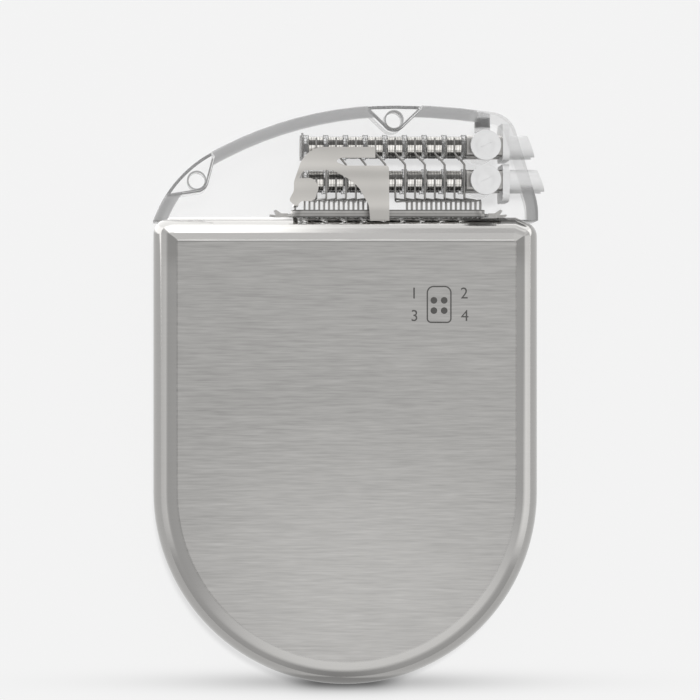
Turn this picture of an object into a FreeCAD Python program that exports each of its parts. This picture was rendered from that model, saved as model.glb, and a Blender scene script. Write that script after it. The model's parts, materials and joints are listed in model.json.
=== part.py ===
import FreeCAD, Part
import math
import os

# Spinal cord stimulator generator, lying on its back.
# Frame, in millimetres: X to the right, Y towards the header, Z out of the front face.
# The origin is on the flat back face, at the centre of the round end.

V = FreeCAD.Vector
RIGHT = V(1, 0, 0)
UP = V(0, 1, 0)
OUT = V(0, 0, 1)

# Case: two drawn half shells with a D outline
case_half_width = 24.75        # also the radius of the round end
case_top = 35.45               # flat top, above the centre of the round end
case_thickness = 11.5
case_wall = 0.35
face_border = 3.15             # from the outline to the crisp edge of the flat face
bevel_drop = 1.25              # fall of the bevel from the face to the outline
edge_radius = 3.4              # rolled edge between bevel and side
corner_radius = 2.0            # of the outline where the sides meet the shoulders
left_shoulder_run = 2.35
left_shoulder_drop = 0.7
right_shoulder_run = 2.76
right_shoulder_drop = 1.2
weld_band_width = 2.4
weld_band_wall = 0.25
inner_clearance = 0.02         # between pieces that are put inside each other

# Header: clear cast block on the flat top
header_thickness = 10.4
header_height = 14.45          # top of the crown above the case's flat top
header_skirt = 0.45            # how far the header reaches down over the rolled edge
header_overhang = 0.05         # of the header's feet past the sides of the case
rim_radius = 1.7
left_foot_radius = 2.5
left_knee_inset = 2.64         # corners of the header's outline, from its sides, foot and crown
left_knee_height = 5.93
left_knee_radius = 16.0
crown_left_inset = 19.4
crown_left_radius = 49.0
crown_right_inset = 12.04
crown_right_radius = 80.0
port_corner_inset = 3.52
port_corner_drop = 1.32
port_corner_radius = 3.6
right_knee_height = 1.55
right_knee_radius = 8.0

# Suture holes, each in an eye-shaped notch that is cut from both sides
suture_radius = 1.04
suture_edge = 0.2              # rounding of the hole's edges
web_thickness = 4.0            # of the header at a suture hole
lobe_wall = 0.41               # from the hole's edge to the foot of the notch's wall
notch_draft = 0.42             # how far the notch's wall leans out
left_hole_x = -19.16
left_hole_height = 4.8         # above the case's flat top
left_notch_left = 3.85         # tips of the notches, from their holes
left_notch_fall = 1.95
left_notch_right = 2.15
left_notch_rise = 2.78
crown_hole_x = 6.33
crown_hole_height = 12.64
crown_notch_reach = 3.3
crown_notch_rise = 1.3

# Connector: two rows of stacks, and in each row a front and a rear stack
contact_count = 8
contact_pitch = 2.54
contact_length = 1.88
contact_radius = 1.3
lead_bore_radius = 0.70        # of every bore that a lead goes through
lower_row_height = 4.73        # of the lower row's axis above the case's flat top
row_pitch = 4.42               # between the upper and lower rows
stack_offset = 2.15            # of a stack's axis from the middle of the thickness
seal_radius = 1.525
end_cap_length = 0.3
end_cap_knob_radius = 0.2
end_cap_knob_height = 0.22

# Set-screw blocks and their septum plugs
block_length = 4.6
block_height = 2.7
block_depth = 2.7
block_rounding = 0.5
screw_radius = 0.9
screw_length = 0.55
hex_across_flats = 0.9
hex_depth = 0.35
plug_radius = 1.94
plug_head_length = 1.05
plug_stem_radius = 1.3
plug_proud = 0.15              # of the plug's head in front of the header
slit_length = 1.5
slit_width = 0.05
slit_depth = 0.6
slit_angle = 25.0

# Port boots: a flange with a front and a rear tube
flange_inset = 4.55            # from the side of the case to the boot's flange
flange_thickness = 0.87
flange_rise = 2.95             # of the upper flange above its row's axis
flange_fall = 1.9              # of the upper flange below its row's axis
lower_flange_fall = 2.75
flange_gap = 0.45              # between the two flanges
flange_depth = 7.8
flange_corner = 1.1
tube_radius = 1.41
upper_tube_reach = -0.85       # middle of the tube's end, from the side of the case
lower_tube_reach = 0.45
tube_end_lean = 19.5           # degrees
fill_plug_radius = 1.02
fill_plug_gap = 0.55           # above the upper set-screw blocks

# Feedthrough on the flat top, with its pins in one row
pin_radius = 0.15
pin_pitch = 0.635
pin_height = 2.19              # above the case's flat top
left_jog = -1.38               # from contact to pin, for the left half of the contacts
right_jog = 1.76
pin_tail = 2.55                # below the case's flat top, over the board
antenna_pin_gap = 1.23         # from the first lead pin to the antenna pin
antenna_pin_share = 0.205      # of the antenna's height, where its pin ends
ferrule_margin = 0.95          # past the end pins
ferrule_depth = 3.8
ferrule_step_height = 0.52
ferrule_step = 0.4
ferrule_height = 1.03
ferrule_neck_depth = 3.0
ferrule_neck_length = 1.35
ferrule_wall = 0.25
ceramic_recess = 0.12

# Feed wires from the contacts to the pins
wire_width = 0.25
wire_clearance = 0.05
wire_cross = 1.27              # sideways step of an upper wire on its way down
lower_wire_rise = 0.3          # ends and bends of the wires, from their row's axis
upper_wire_rise = 1.05
upper_wire_bend = 0.95
upper_wire_step = 2.45

# Antenna: a bent flat sheet in front of the wires
antenna_width = 12.92
antenna_height = 9.5
antenna_right_inset = 19.18    # of its leg, from the side of the case
antenna_root = 0.55            # how far it reaches down over the rolled edge
antenna_thickness = 0.25
antenna_clearance = 0.1
antenna_bend = 0.15
antenna_foot_width = 0.6

# Anchor clips at both ends of the ferrule
clip_thickness = 0.22
clip_depth = 2.0
clip_reach = 2.35
clip_gap = 0.15                # between the two tines
clip_tine_rise = 0.7

# Pieces inside the sealed case
battery_inset = 1.6
battery_top = 8.0
battery_gap = 0.25
battery_corner = 3.0
battery_edge = 2.2             # chamfer all round, less than battery_corner
liner_thickness = 0.2
liner_inset = 3.7
liner_corner = 2.0
terminal_radius = 0.45
terminal_height = 1.1
terminal_x = 7.0
tab_width = 2.0
tab_thickness = 0.15
tab_overlap = 2.0              # of a tab over the board
frame_inset = 0.72
frame_width = 1.9
frame_gap = 0.35               # between the battery and the frame
frame_corner = 2.0
frame_inner_corner = 1.0
frame_height = 1.2
board_corner = 2.5
board_clearance = 0.1
board_thickness = 0.8
chip_height = 1.2
chip_chamfer = 0.25
controller_size = 8.0
controller_x = -8.0
controller_rise = 13.0         # of a chip's middle above the board's lower edge
output_width = 10.0
output_height = 6.0
output_x = 6.0
output_rise = 14.5
power_size = 5.0
power_inset = 8.25             # from the side of the case
power_rise = 8.5
capacitor_count = 7
capacitor_inset = 10.95        # of the end capacitors, from the sides of the case
capacitor_width = 2.0
capacitor_length = 1.6
capacitor_height = 1.4
capacitor_rise = 4.0
crystal_inset = 7.75
crystal_drop = 5.5
crystal_length = 6.0
crystal_width = 2.2
crystal_height = 1.5

# Places worked out from the sizes above
middle = case_thickness / 2
header_front = middle + header_thickness / 2
header_back = middle - header_thickness / 2
front_axis = middle + stack_offset
rear_axis = middle - stack_offset
lower_row = case_top + lower_row_height
upper_row = lower_row + row_pitch
flange_x = case_half_width - flange_inset
block_x = flange_x - block_length
seal_length = contact_pitch - contact_length
last_seal_x = block_x - seal_length / 2
first_contact_x = last_seal_x - contact_pitch * (contact_count - 0.5)
stack_left = last_seal_x - contact_pitch * contact_count - seal_length / 2
block_middle = block_x + block_length / 2
first_pin_x = first_contact_x + left_jog
antenna_pin_x = first_pin_x - antenna_pin_gap
last_contact_x = first_contact_x + contact_pitch * (contact_count - 1)
last_pin_x = last_contact_x + right_jog + 3 * pin_pitch
ferrule_left = antenna_pin_x - ferrule_margin
ferrule_right = last_pin_x + ferrule_margin
ferrule_top = case_top + ferrule_height
pin_top = case_top + pin_height
antenna_pin_top = case_top - antenna_root + antenna_pin_share * antenna_height
near_wire = contact_radius + wire_width / 2
far_wire = seal_radius + wire_clearance + wire_width / 2
antenna_back = front_axis + far_wire + wire_width / 2 + antenna_clearance
board_front = middle - pin_radius
inner_top = case_top - case_wall
frame_bottom = battery_top + frame_gap
frame_top = inner_top - frame_inset - ferrule_neck_length
board_edge = frame_inset + board_clearance
board_bottom = battery_top + terminal_height + board_clearance
board_top = frame_top - board_clearance


# A point of a flat outline, placed in space
def placed(origin, across, up, x, y):
    return origin + across * x + up * y


# Closed outline of straight lines whose corners, each (x, y, radius), are rounded by tangent arcs.
# A radius is limited by the lines beside its corner.
def rounded_wire(corners, origin=V(0, 0, 0), across=RIGHT, up=UP):
    points = [placed(origin, across, up, x, y) for x, y, radius in corners]
    count = len(points)
    runs = [(points[(i + 1) % count] - points[i]) for i in range(count)]
    half_turns = [runs[i - 1].getAngle(runs[i]) / 2 for i in range(count)]
    reaches = [corners[i][2] * math.tan(half_turns[i]) for i in range(count)]
    fits = [min(1, runs[i].Length / max(reaches[i] + reaches[(i + 1) % count], 1e-9))
            for i in range(count)]
    arcs = []
    for i, corner in enumerate(points):
        reach = reaches[i] * min(fits[i - 1], fits[i])
        to_last = -runs[i - 1].normalize()
        to_next = runs[i].normalize()
        inward = (to_last + to_next).normalize()
        radius = reach / math.tan(half_turns[i])
        top = corner + inward * (radius / math.cos(half_turns[i]) - radius)
        arcs.append((corner + to_last * reach, top, corner + to_next * reach))
    edges = []
    for i, (start, top, end) in enumerate(arcs):
        if start.distanceToPoint(end) > 1e-6:
            edges.append(Part.Arc(start, top, end).toShape())
        following = arcs[(i + 1) % len(arcs)][0]
        if end.distanceToPoint(following) > 1e-6:
            edges.append(Part.LineSegment(end, following).toShape())
    return Part.Wire(edges)


def rounded_face(corners, origin=V(0, 0, 0), across=RIGHT, up=UP):
    return Part.Face(rounded_wire(corners, origin, across, up))


def box(x0, x1, y0, y1, z0, z1):
    return Part.makeBox(x1 - x0, y1 - y0, z1 - z0, V(x0, y0, z0))


# Ring along X, centred on x
def ring(x, length, y, z, outer, inner):
    start = V(x - length / 2, y, z)
    body = Part.makeCylinder(outer, length, start, RIGHT)
    return body.cut(Part.makeCylinder(inner, length, start, RIGHT))


# Round-ended plate lying on a plane of constant Y
def stadium(x0, x1, y0, y1, depth):
    radius = depth / 2
    corners = [(x0, -radius, radius), (x1, -radius, radius), (x1, radius, radius), (x0, radius, radius)]
    face = rounded_face(corners, V(0, y0, middle), RIGHT, OUT)
    return face.extrude(V(0, y1 - y0, 0))


def group(solids):
    return solids[0] if len(solids) == 1 else Part.makeCompound(solids)


# Case

# The border and fall of the bevel on a surface that lies a wall further in
def inner_bevel(inset):
    slope = math.hypot(face_border, bevel_drop)
    saved = inset * (face_border + bevel_drop - slope)
    return face_border - saved / bevel_drop, bevel_drop - saved / face_border


# Section of the case, from its outline (u = 0) inwards
def section_corners(inset, width, far_edge):
    border, drop = inner_bevel(inset)
    radius = edge_radius - inset
    low = inset
    high = case_thickness - inset
    near = [(border, low, 0), (0, low + drop, radius), (0, high - drop, radius), (border, high, 0)]
    if not far_edge:
        return near + [(width, high, 0), (width, low, 0)]
    far = [(width - border, high, 0), (width, high - drop, radius)]
    return near + far + [(width, low + drop, radius), (width - border, low, 0)]


# Everything on the inner side of one straight edge of the outline, with the rolled edge along it
def edge_limit(inset, start, end):
    along = (end - start).normalize()
    inward = V(along.y, -along.x, 0)
    reach = 3 * case_half_width
    origin = start + inward * inset - along * reach
    face = rounded_face(section_corners(inset, reach, False), origin, inward, OUT)
    return face.extrude(along * 2 * reach)


# The case's straight upper corners: side, left shoulder, right shoulder, side
def shoulder_corners():
    return [V(-case_half_width, 0, 0), V(-case_half_width, case_top - left_shoulder_drop, 0),
            V(-case_half_width + left_shoulder_run, case_top, 0),
            V(case_half_width - right_shoulder_run, case_top, 0),
            V(case_half_width, case_top - right_shoulder_drop, 0), V(case_half_width, 0, 0)]


# Rounds one corner of the body: the kite beyond the arc goes, and a turned sector of the section fills in
def round_corner(body, inset, before, corner, after):
    radius = corner_radius - inset
    if radius <= 0:
        return body
    to_last = (before - corner).normalize()
    to_next = (after - corner).normalize()
    half_angle = to_last.getAngle(to_next) / 2
    centre = corner + (to_last + to_next).normalize() * (corner_radius / math.sin(half_angle))
    reach = corner_radius / math.tan(half_angle)
    sides = [corner + to_last * reach, corner, corner + to_next * reach]
    kite = [centre] + [centre + (p - centre) * 2 for p in sides] + [centre]
    beyond = V(0, 0, -1)
    prism = Part.Face(Part.makePolygon([p + beyond for p in kite])).extrude(OUT * (case_thickness + 2))
    outward = (sides[0] - centre).normalize()
    edge = centre + outward * radius
    section = rounded_face(section_corners(inset, case_half_width, False), edge, -outward, OUT)
    corners = [(0, 0, 0), (radius, 0, 0), (radius, case_thickness, 0), (0, case_thickness, 0)]
    section = section.common(rounded_face(corners, edge, -outward, OUT)).Faces[0]
    sector = section.revolve(centre, -OUT, 180 - math.degrees(2 * half_angle))
    return body.cut(prism).fuse(sector).removeSplitter()


# D-shaped solid with rolled and bevelled edges, a given distance inside the case's surface
def case_body(inset):
    half = case_half_width - inset
    sides = rounded_face(section_corners(inset, 2 * half, True), V(-half, 0, 0), RIGHT, OUT)
    body = sides.extrude(UP * (case_top + 1))
    half_section = rounded_face(section_corners(inset, half, False), V(half, 0, 0), -RIGHT, OUT)
    round_end = half_section.revolve(V(0, 0, 0), OUT, -180)
    body = body.fuse(round_end).removeSplitter()
    low_left, left, left_top, right_top, right, low_right = shoulder_corners()
    for start, end in ((left, left_top), (left_top, right_top), (right_top, right)):
        body = body.common(edge_limit(inset, start, end))
    body = round_corner(body, inset, low_left, left, left_top)
    return round_corner(body, inset, right_top, right, low_right)


# Slot through the top of the case for the neck of the ferrule
def ferrule_slot():
    neck = ferrule_neck_depth / 2 + inner_clearance
    inset = (ferrule_depth - ferrule_neck_depth) / 2 - inner_clearance
    bottom = case_top - ferrule_neck_length - 1
    return stadium(ferrule_left + inset, ferrule_right - inset, bottom, case_top + 1, 2 * neck)


def half_space(front):
    reach = 2 * case_half_width
    z0, z1 = (middle, case_thickness + 1) if front else (-1, middle)
    return box(-reach, reach, -reach, reach, z0, z1)


def case_shell(front):
    shell = case_body(0).cut(case_body(case_wall))
    return shell.common(half_space(front)).cut(ferrule_slot())


# Strip behind the seam, which the laser weld runs along
def weld_band():
    outer = case_body(case_wall + inner_clearance)
    inner = case_body(case_wall + inner_clearance + weld_band_wall)
    reach = 2 * case_half_width
    low = middle - weld_band_width / 2
    high = middle + weld_band_width / 2
    band = outer.cut(inner).common(box(-reach, reach, -reach, reach, low, high))
    return band.cut(ferrule_slot())


# D outline without its shoulders, a given distance inside the case's outline
def inner_outline(inset, bottom, top, corner, z):
    half = case_half_width - inset
    corners = [(-half, -half, half), (half, -half, half), (half, top, corner), (-half, top, corner)]
    face = rounded_face(corners, V(0, 0, z))
    return face.common(box(-half, half, bottom, top, z - 1, z + 1)).Faces[0]


def liner(front):
    reach = case_wall + inner_clearance
    z = case_thickness - reach - liner_thickness if front else reach
    sheet = inner_outline(liner_inset, -case_half_width, inner_top - liner_inset, liner_corner, z)
    return sheet.extrude(OUT * liner_thickness)


def battery():
    low = case_wall + liner_thickness + battery_gap
    depth = case_thickness - 2 * low
    outline = inner_outline(battery_inset, -case_half_width, battery_top, battery_corner, low)
    can = outline.extrude(OUT * depth)
    rims = [edge for edge in can.Edges if edge.BoundBox.ZLength < 0.001]
    return can.makeChamfer(battery_edge, rims)


def battery_terminal():
    start = V(terminal_x, battery_top, middle)
    bead = Part.makeCylinder(2 * terminal_radius, terminal_height / 3, start, UP)
    return bead.fuse(Part.makeCylinder(terminal_radius, terminal_height, start, UP))


# Plastic ring that holds the board, with a bar along the battery
def board_frame():
    back = board_front - board_thickness - frame_height
    outer = inner_outline(frame_inset, frame_bottom, frame_top, frame_corner, back)
    inner = inner_outline(frame_inset + frame_width, frame_bottom + frame_width, frame_top - frame_width,
                          frame_inner_corner, back)
    return outer.cut(inner).extrude(OUT * frame_height)


def circuit_board():
    outline = inner_outline(board_edge, board_bottom, board_top, board_corner, board_front - board_thickness)
    return outline.extrude(OUT * board_thickness)


def chip(x, y, width, height):
    body = box(x - width / 2, x + width / 2, y - height / 2, y + height / 2,
               board_front, board_front + chip_height)
    upright = [edge for edge in body.Edges if edge.BoundBox.ZLength > chip_height / 2]
    return body.makeChamfer(chip_chamfer, upright)


def capacitors():
    first = capacitor_inset - case_half_width
    pitch = -2 * first / (capacitor_count - 1)
    places = [first + i * pitch for i in range(capacitor_count)]
    low = board_bottom + capacitor_rise - capacitor_length / 2
    return [box(x - capacitor_width / 2, x + capacitor_width / 2, low, low + capacitor_length,
                board_front, board_front + capacitor_height) for x in places]


def crystal_can():
    long = crystal_length / 2
    half = crystal_width / 2
    corners = [(-long, -half, half), (long, -half, half), (long, half, half), (-long, half, half)]
    place = V(case_half_width - crystal_inset, board_top - crystal_drop, board_front)
    return rounded_face(corners, place).extrude(OUT * crystal_height)


# Strip from the battery over the edge of the board
def battery_tab(x):
    low = battery_top + terminal_height if x > 0 else battery_top
    high = board_bottom + tab_overlap
    front = board_front + tab_thickness
    strip = box(x - tab_width / 2, x + tab_width / 2, low, high, board_front, front)
    return strip.cut(battery_terminal())


# Wires and pins

# Six-sided bar along a path of straight runs with mitred bends
def bent_bar(path, radius):
    runs = [(b - a).normalize() for a, b in zip(path, path[1:])]
    side = runs[0].cross(OUT)
    if side.Length < 0.1:
        side = runs[0].cross(RIGHT)
    side.normalize()
    front = runs[0].cross(side)
    angles = [math.radians(60 * i) for i in range(6)]
    section = [path[0] + (side * math.cos(a) + front * math.sin(a)) * radius for a in angles]
    loops = [section]
    for i, run in enumerate(runs):
        joint = path[i + 1]
        normal = run + runs[i + 1] if i + 1 < len(runs) else run
        section = [p + run * ((joint - p).dot(normal) / run.dot(normal)) for p in section]
        loops.append(section)
    faces = []
    for near, far in zip(loops, loops[1:]):
        for i in range(6):
            j = (i + 1) % 6
            faces.append(Part.Face(Part.makePolygon([near[i], near[j], far[j], far[i], near[i]])))
    for loop in (loops[0], loops[-1]):
        faces.append(Part.Face(Part.makePolygon(loop + [loop[0]])))
    solid = Part.makeSolid(Part.makeShell(faces))
    if solid.Volume < 0:
        solid.reverse()
    return solid


# Feedthrough

def contact_x(i):
    return first_contact_x + i * contact_pitch


# Pin of a contact: each contact has four pins side by side, front and rear, lower and upper
def pin_x(i, upper, front):
    jog = left_jog if i < contact_count / 2 else right_jog
    place = 2 * int(upper) + int(not front)
    return contact_x(i) + jog + place * pin_pitch


def feedthrough_pins():
    bottom = case_top - pin_tail
    pins = []
    for i in range(contact_count):
        for upper in (False, True):
            for front in (True, False):
                x = pin_x(i, upper, front)
                pins.append(bent_bar([V(x, bottom, middle), V(x, pin_top, middle)], pin_radius))
    return pins


def antenna_pin():
    bottom = case_top - pin_tail
    return bent_bar([V(antenna_pin_x, bottom, middle), V(antenna_pin_x, antenna_pin_top, middle)], pin_radius)


# Ferrule: a two-step flange on the case, and a neck through the slot
def ferrule_body():
    step_top = case_top + ferrule_step_height
    flange = stadium(ferrule_left, ferrule_right, case_top, step_top, ferrule_depth)
    upper = stadium(ferrule_left + ferrule_step, ferrule_right - ferrule_step, step_top, ferrule_top,
                    ferrule_depth - 2 * ferrule_step)
    inset = (ferrule_depth - ferrule_neck_depth) / 2
    neck = stadium(ferrule_left + inset, ferrule_right - inset, case_top - ferrule_neck_length, case_top,
                   ferrule_neck_depth)
    return flange.fuse([upper, neck]).removeSplitter()


def ferrule_window(top):
    inset = (ferrule_depth - ferrule_neck_depth) / 2 + ferrule_wall
    depth = ferrule_neck_depth - 2 * ferrule_wall
    return stadium(ferrule_left + inset, ferrule_right - inset, case_top - ferrule_neck_length, top, depth)


def feedthrough_ferrule():
    return ferrule_body().cut(ferrule_window(ferrule_top))


def feedthrough_ceramic():
    return ferrule_window(ferrule_top - ceramic_recess).cut(feedthrough_pins() + [antenna_pin()])


# Forked clip that keys the header to the case, at one end of the ferrule
def anchor_clip(right):
    side = 1 if right else -1
    end = ferrule_right if right else ferrule_left
    base = case_top + clip_thickness
    fork = base + clip_gap
    tine = fork + clip_thickness
    corners = [(0, case_top, 0), (clip_reach * 0.62, case_top, 0), (clip_reach, base, 0),
               (clip_reach, base + clip_thickness, 0), (clip_reach * 0.62, fork, 0),
               (clip_reach * 0.78, fork + clip_tine_rise * 0.8, 0),
               (clip_reach * 0.66, fork + clip_tine_rise, 0),
               (clip_reach * 0.36, tine, 0), (0, tine, 0)]
    start = V(end, 0, middle - clip_depth / 2)
    return rounded_face(corners, start, RIGHT * side, UP).extrude(OUT * clip_depth)


# Connector stacks

def rows():
    return {"upper": upper_row, "lower": lower_row}


def depths():
    return {"front": front_axis, "rear": rear_axis}


def contact_rings(y, z):
    return [ring(contact_x(i), contact_length, y, z, contact_radius, lead_bore_radius)
            for i in range(contact_count)]


def seal_rings(y, z):
    return [ring(last_seal_x - i * contact_pitch, seal_length, y, z, seal_radius, lead_bore_radius)
            for i in range(contact_count + 1)]


def end_cap(y, z):
    x = stack_left - end_cap_length / 2
    cap = Part.makeCylinder(seal_radius, end_cap_length, V(stack_left, y, z), -RIGHT)
    knob_start = V(x, y, z)
    knob = Part.makeCylinder(end_cap_knob_radius, seal_radius + end_cap_knob_height, knob_start, UP)
    reach = seal_radius + end_cap_knob_height
    waist = box(x - end_cap_length / 2, x + end_cap_length / 2, y, y + reach, z - reach, z + reach)
    return cap.fuse(knob.common(waist)).removeSplitter()


# Bore of the header for one stack
def stack_bore(y, z):
    start = V(stack_left - end_cap_length, y, z)
    return Part.makeCylinder(seal_radius, block_x - stack_left + end_cap_length, start, RIGHT)


# Outward direction of a front or rear stack, along Z
def outward(z):
    return OUT if z > middle else -OUT


def block_top(z):
    return z + outward(z).z * block_depth / 2


def set_screw(y, z):
    start = V(block_middle, y, z) + outward(z) * lead_bore_radius
    screw = Part.makeCylinder(screw_radius, screw_length, start, outward(z))
    across = hex_across_flats / math.sqrt(3)
    corners = [(across * math.cos(math.radians(60 * i)), across * math.sin(math.radians(60 * i)), 0)
               for i in range(6)]
    top = start + outward(z) * (screw_length - hex_depth)
    socket = rounded_face(corners, top).extrude(outward(z) * hex_depth)
    return screw.cut(socket)


def set_screw_block(y, z):
    corners = [(-block_height / 2, -block_depth / 2, block_rounding),
               (block_height / 2, -block_depth / 2, block_rounding),
               (block_height / 2, block_depth / 2, block_rounding),
               (-block_height / 2, block_depth / 2, block_rounding)]
    block = rounded_face(corners, V(block_x, y, z), UP, OUT).extrude(RIGHT * block_length)
    bore = Part.makeCylinder(lead_bore_radius, block_length, V(block_x, y, z), RIGHT)
    tapped = Part.makeCylinder(screw_radius, block_depth, V(block_middle, y, z), outward(z))
    return block.cut([bore, tapped])


# Length of a plug; only the front ones stand proud, because the generator lies on its back
def plug_length(z):
    proud = plug_proud if z > middle else 0
    return header_thickness / 2 + proud - stack_offset - block_depth / 2


def plug_body(y, z):
    length = plug_length(z)
    start = V(block_middle, y, block_top(z))
    head_start = start + outward(z) * (length - plug_head_length)
    head = Part.makeCylinder(plug_radius, plug_head_length, head_start, outward(z))
    return head.fuse(Part.makeCylinder(plug_stem_radius, length, start, outward(z))).removeSplitter()


# Silicone plug over a set screw, with a slit for the driver
def septum_plug(y, z):
    plug = plug_body(y, z)
    top = V(block_middle, y, block_top(z)) + outward(z) * (plug_length(z) - slit_depth)
    slit = Part.makeBox(slit_length, slit_width, 2 * slit_depth, V(-slit_length / 2, -slit_width / 2, 0))
    slit.rotate(V(0, 0, 0), OUT, slit_angle)
    if z < middle:
        slit.rotate(V(0, 0, 0), RIGHT, 180)
    slit.translate(top)
    return plug.cut(slit)


def boot_body(upper):
    y = upper_row if upper else lower_row
    top = upper_row + flange_rise if upper else upper_row - flange_fall - flange_gap
    bottom = upper_row - flange_fall if upper else lower_row - lower_flange_fall
    half = flange_depth / 2
    corners = [(bottom, -half, flange_corner), (top, -half, flange_corner),
               (top, half, flange_corner), (bottom, half, flange_corner)]
    boot = rounded_face(corners, V(flange_x, 0, middle), UP, OUT).extrude(RIGHT * flange_thickness)
    reach = case_half_width + (upper_tube_reach if upper else lower_tube_reach)
    for z in (front_axis, rear_axis):
        length = 2 * flange_inset
        tube = Part.makeCylinder(tube_radius, length, V(flange_x, y, z), RIGHT)
        end = Part.makeBox(length, length, length, V(0, -length / 2, -length / 2))
        end.rotate(V(0, 0, 0), OUT, tube_end_lean)
        end.translate(V(reach, y, z))
        boot = boot.fuse(tube.cut(end))
    return boot.removeSplitter()


# Silicone boot: the flange and its two tubes, with a port for a lead through each tube
def port_boot(upper):
    y = upper_row if upper else lower_row
    ports = [Part.makeCylinder(lead_bore_radius, 3 * flange_inset, V(flange_x, y, z), RIGHT)
             for z in (front_axis, rear_axis)]
    return boot_body(upper).cut(ports)


def fill_plug():
    top = case_top + header_height
    low = upper_row + block_height / 2 + fill_plug_gap
    plug = Part.makeCylinder(fill_plug_radius, header_height, V(block_middle, case_top, middle), UP)
    reach = 2 * fill_plug_radius
    window = box(block_middle - reach, block_middle + reach, low, top,
                 middle - reach, middle + reach)
    return plug.common(window).common(header_blank())


# Feed wires

# Route of one wire: down the face of its contact, past the lower stack, then in to its pin
def wire_path(i, upper, front):
    z = front_axis if front else rear_axis
    out = 1 if front else -1
    y = upper_row if upper else lower_row
    x = contact_x(i)
    near = z + out * near_wire
    far = z + out * far_wire
    base = pin_top + wire_width / 2
    pin = V(pin_x(i, upper, front), base, middle)
    if not upper:
        return [V(x, y + lower_wire_rise, near), V(x, base, near), pin]
    return [V(x, y + upper_wire_rise, near), V(x, y - upper_wire_bend, near),
            V(x + wire_cross, y - upper_wire_step, far), V(x + wire_cross, base, far), pin]


def feed_wires(upper, front):
    return [bent_bar(wire_path(i, upper, front), wire_width / 2) for i in range(contact_count)]


# Antenna

# Outline of the sheet: an arm over a slot, a curled foot, and a leg down to the case.
# Corners are shares of the sheet's width, from the leg's right side, and of its height, from the leg's foot.
def antenna_outline():
    shares = [(0.139, 1.0, 0), (0.830, 1.0, 0.358), (0.951, 0.52, 0.21), (0.948, 0.405, 0.126),
              (1.0, 0.279, 0.047), (0.927, 0.192, 0.047), (0.872, 0.268, 0.032), (0.749, 0.268, 0.084),
              (0.694, 0.463, 0.105), (0.764, 0.581, 0.095), (0.903, 0.577, 0.008), (0.849, 0.685, 0.084),
              (0.555, 0.685, 0.263), (0.315, 0.495, 0.526), (0.203, 0.211, 0.211), (0.191, 0.0, 0),
              (0.0, 0.0, 0), (0.004, 0.747, 0.042), (0.431, 0.747, 0.126), (0.551, 0.805, 0.026),
              (0.478, 0.854, 0.105), (0.139, 0.854, 0)]
    right = case_half_width - antenna_right_inset
    foot = case_top - antenna_root
    return [(right - u * antenna_width, foot + v * antenna_height, radius * antenna_height)
            for u, v, radius in shares]


# Side view of the sheet: gentle bends one after the other, down to its seat on the rolled edge.
# Heights are shares of the sheet's height, and bends are counted in steps.
def antenna_sheet():
    bends = [(1.22, 0.5), (1.0, 0.5), (0.89, 0), (0.68, 1), (0.395, 0), (0.14, 1.3), (-0.05, 1.3)]
    foot = case_top - antenna_root
    back = [(foot + v * antenna_height, antenna_back + bend * antenna_bend) for v, bend in bends]
    front = [(y, z + antenna_thickness) for y, z in reversed(back)]
    corners = [(y, z, 0) for y, z in back + front]
    reach = case_half_width
    return rounded_face(corners, V(-reach, 0, 0), UP, OUT).extrude(RIGHT * 2 * reach)


def antenna():
    deep = 10 * antenna_thickness
    face = rounded_face(antenna_outline(), V(0, 0, antenna_back - deep))
    plate = face.extrude(OUT * 2 * deep).common(antenna_sheet())
    half = antenna_foot_width / 2
    foot = box(antenna_pin_x - half, antenna_pin_x + half, antenna_pin_top,
               antenna_pin_top + antenna_thickness, middle - half, antenna_back + antenna_bend)
    return plate.fuse(foot).removeSplitter()


# Header

def header_corners(foot):
    left = -case_half_width - header_overhang
    right = case_half_width + header_overhang
    crown = case_top + header_height
    return [(left, foot, 0), (left, case_top, left_foot_radius),
            (left + left_knee_inset, case_top + left_knee_height, left_knee_radius),
            (left + crown_left_inset, crown, crown_left_radius),
            (right - crown_right_inset, crown, crown_right_radius),
            (right - port_corner_inset, crown - port_corner_drop, port_corner_radius),
            (right, case_top + right_knee_height, right_knee_radius), (right, foot, 0)]


# The block's outside, with its rim rolled front and back
def header_blank():
    foot = case_top - 4 * header_skirt
    blank = rounded_face(header_corners(foot), V(0, 0, header_back)).extrude(OUT * header_thickness)
    rims = [edge for edge in blank.Edges
            if edge.BoundBox.ZLength < 0.001 and edge.BoundBox.YMax > foot + 0.01]
    return blank.makeFillet(rim_radius, rims)


# Point where a line from a tip touches a circle, on the left or right of the line to its centre
def touch_point(tip, centre, radius, side):
    span = centre.distanceToPoint(tip)
    angle = side * math.acos(radius / span)
    towards = (tip - centre).normalize()
    turned = V(towards.x * math.cos(angle) - towards.y * math.sin(angle),
               towards.x * math.sin(angle) + towards.y * math.cos(angle), 0)
    return centre + turned * radius


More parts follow.
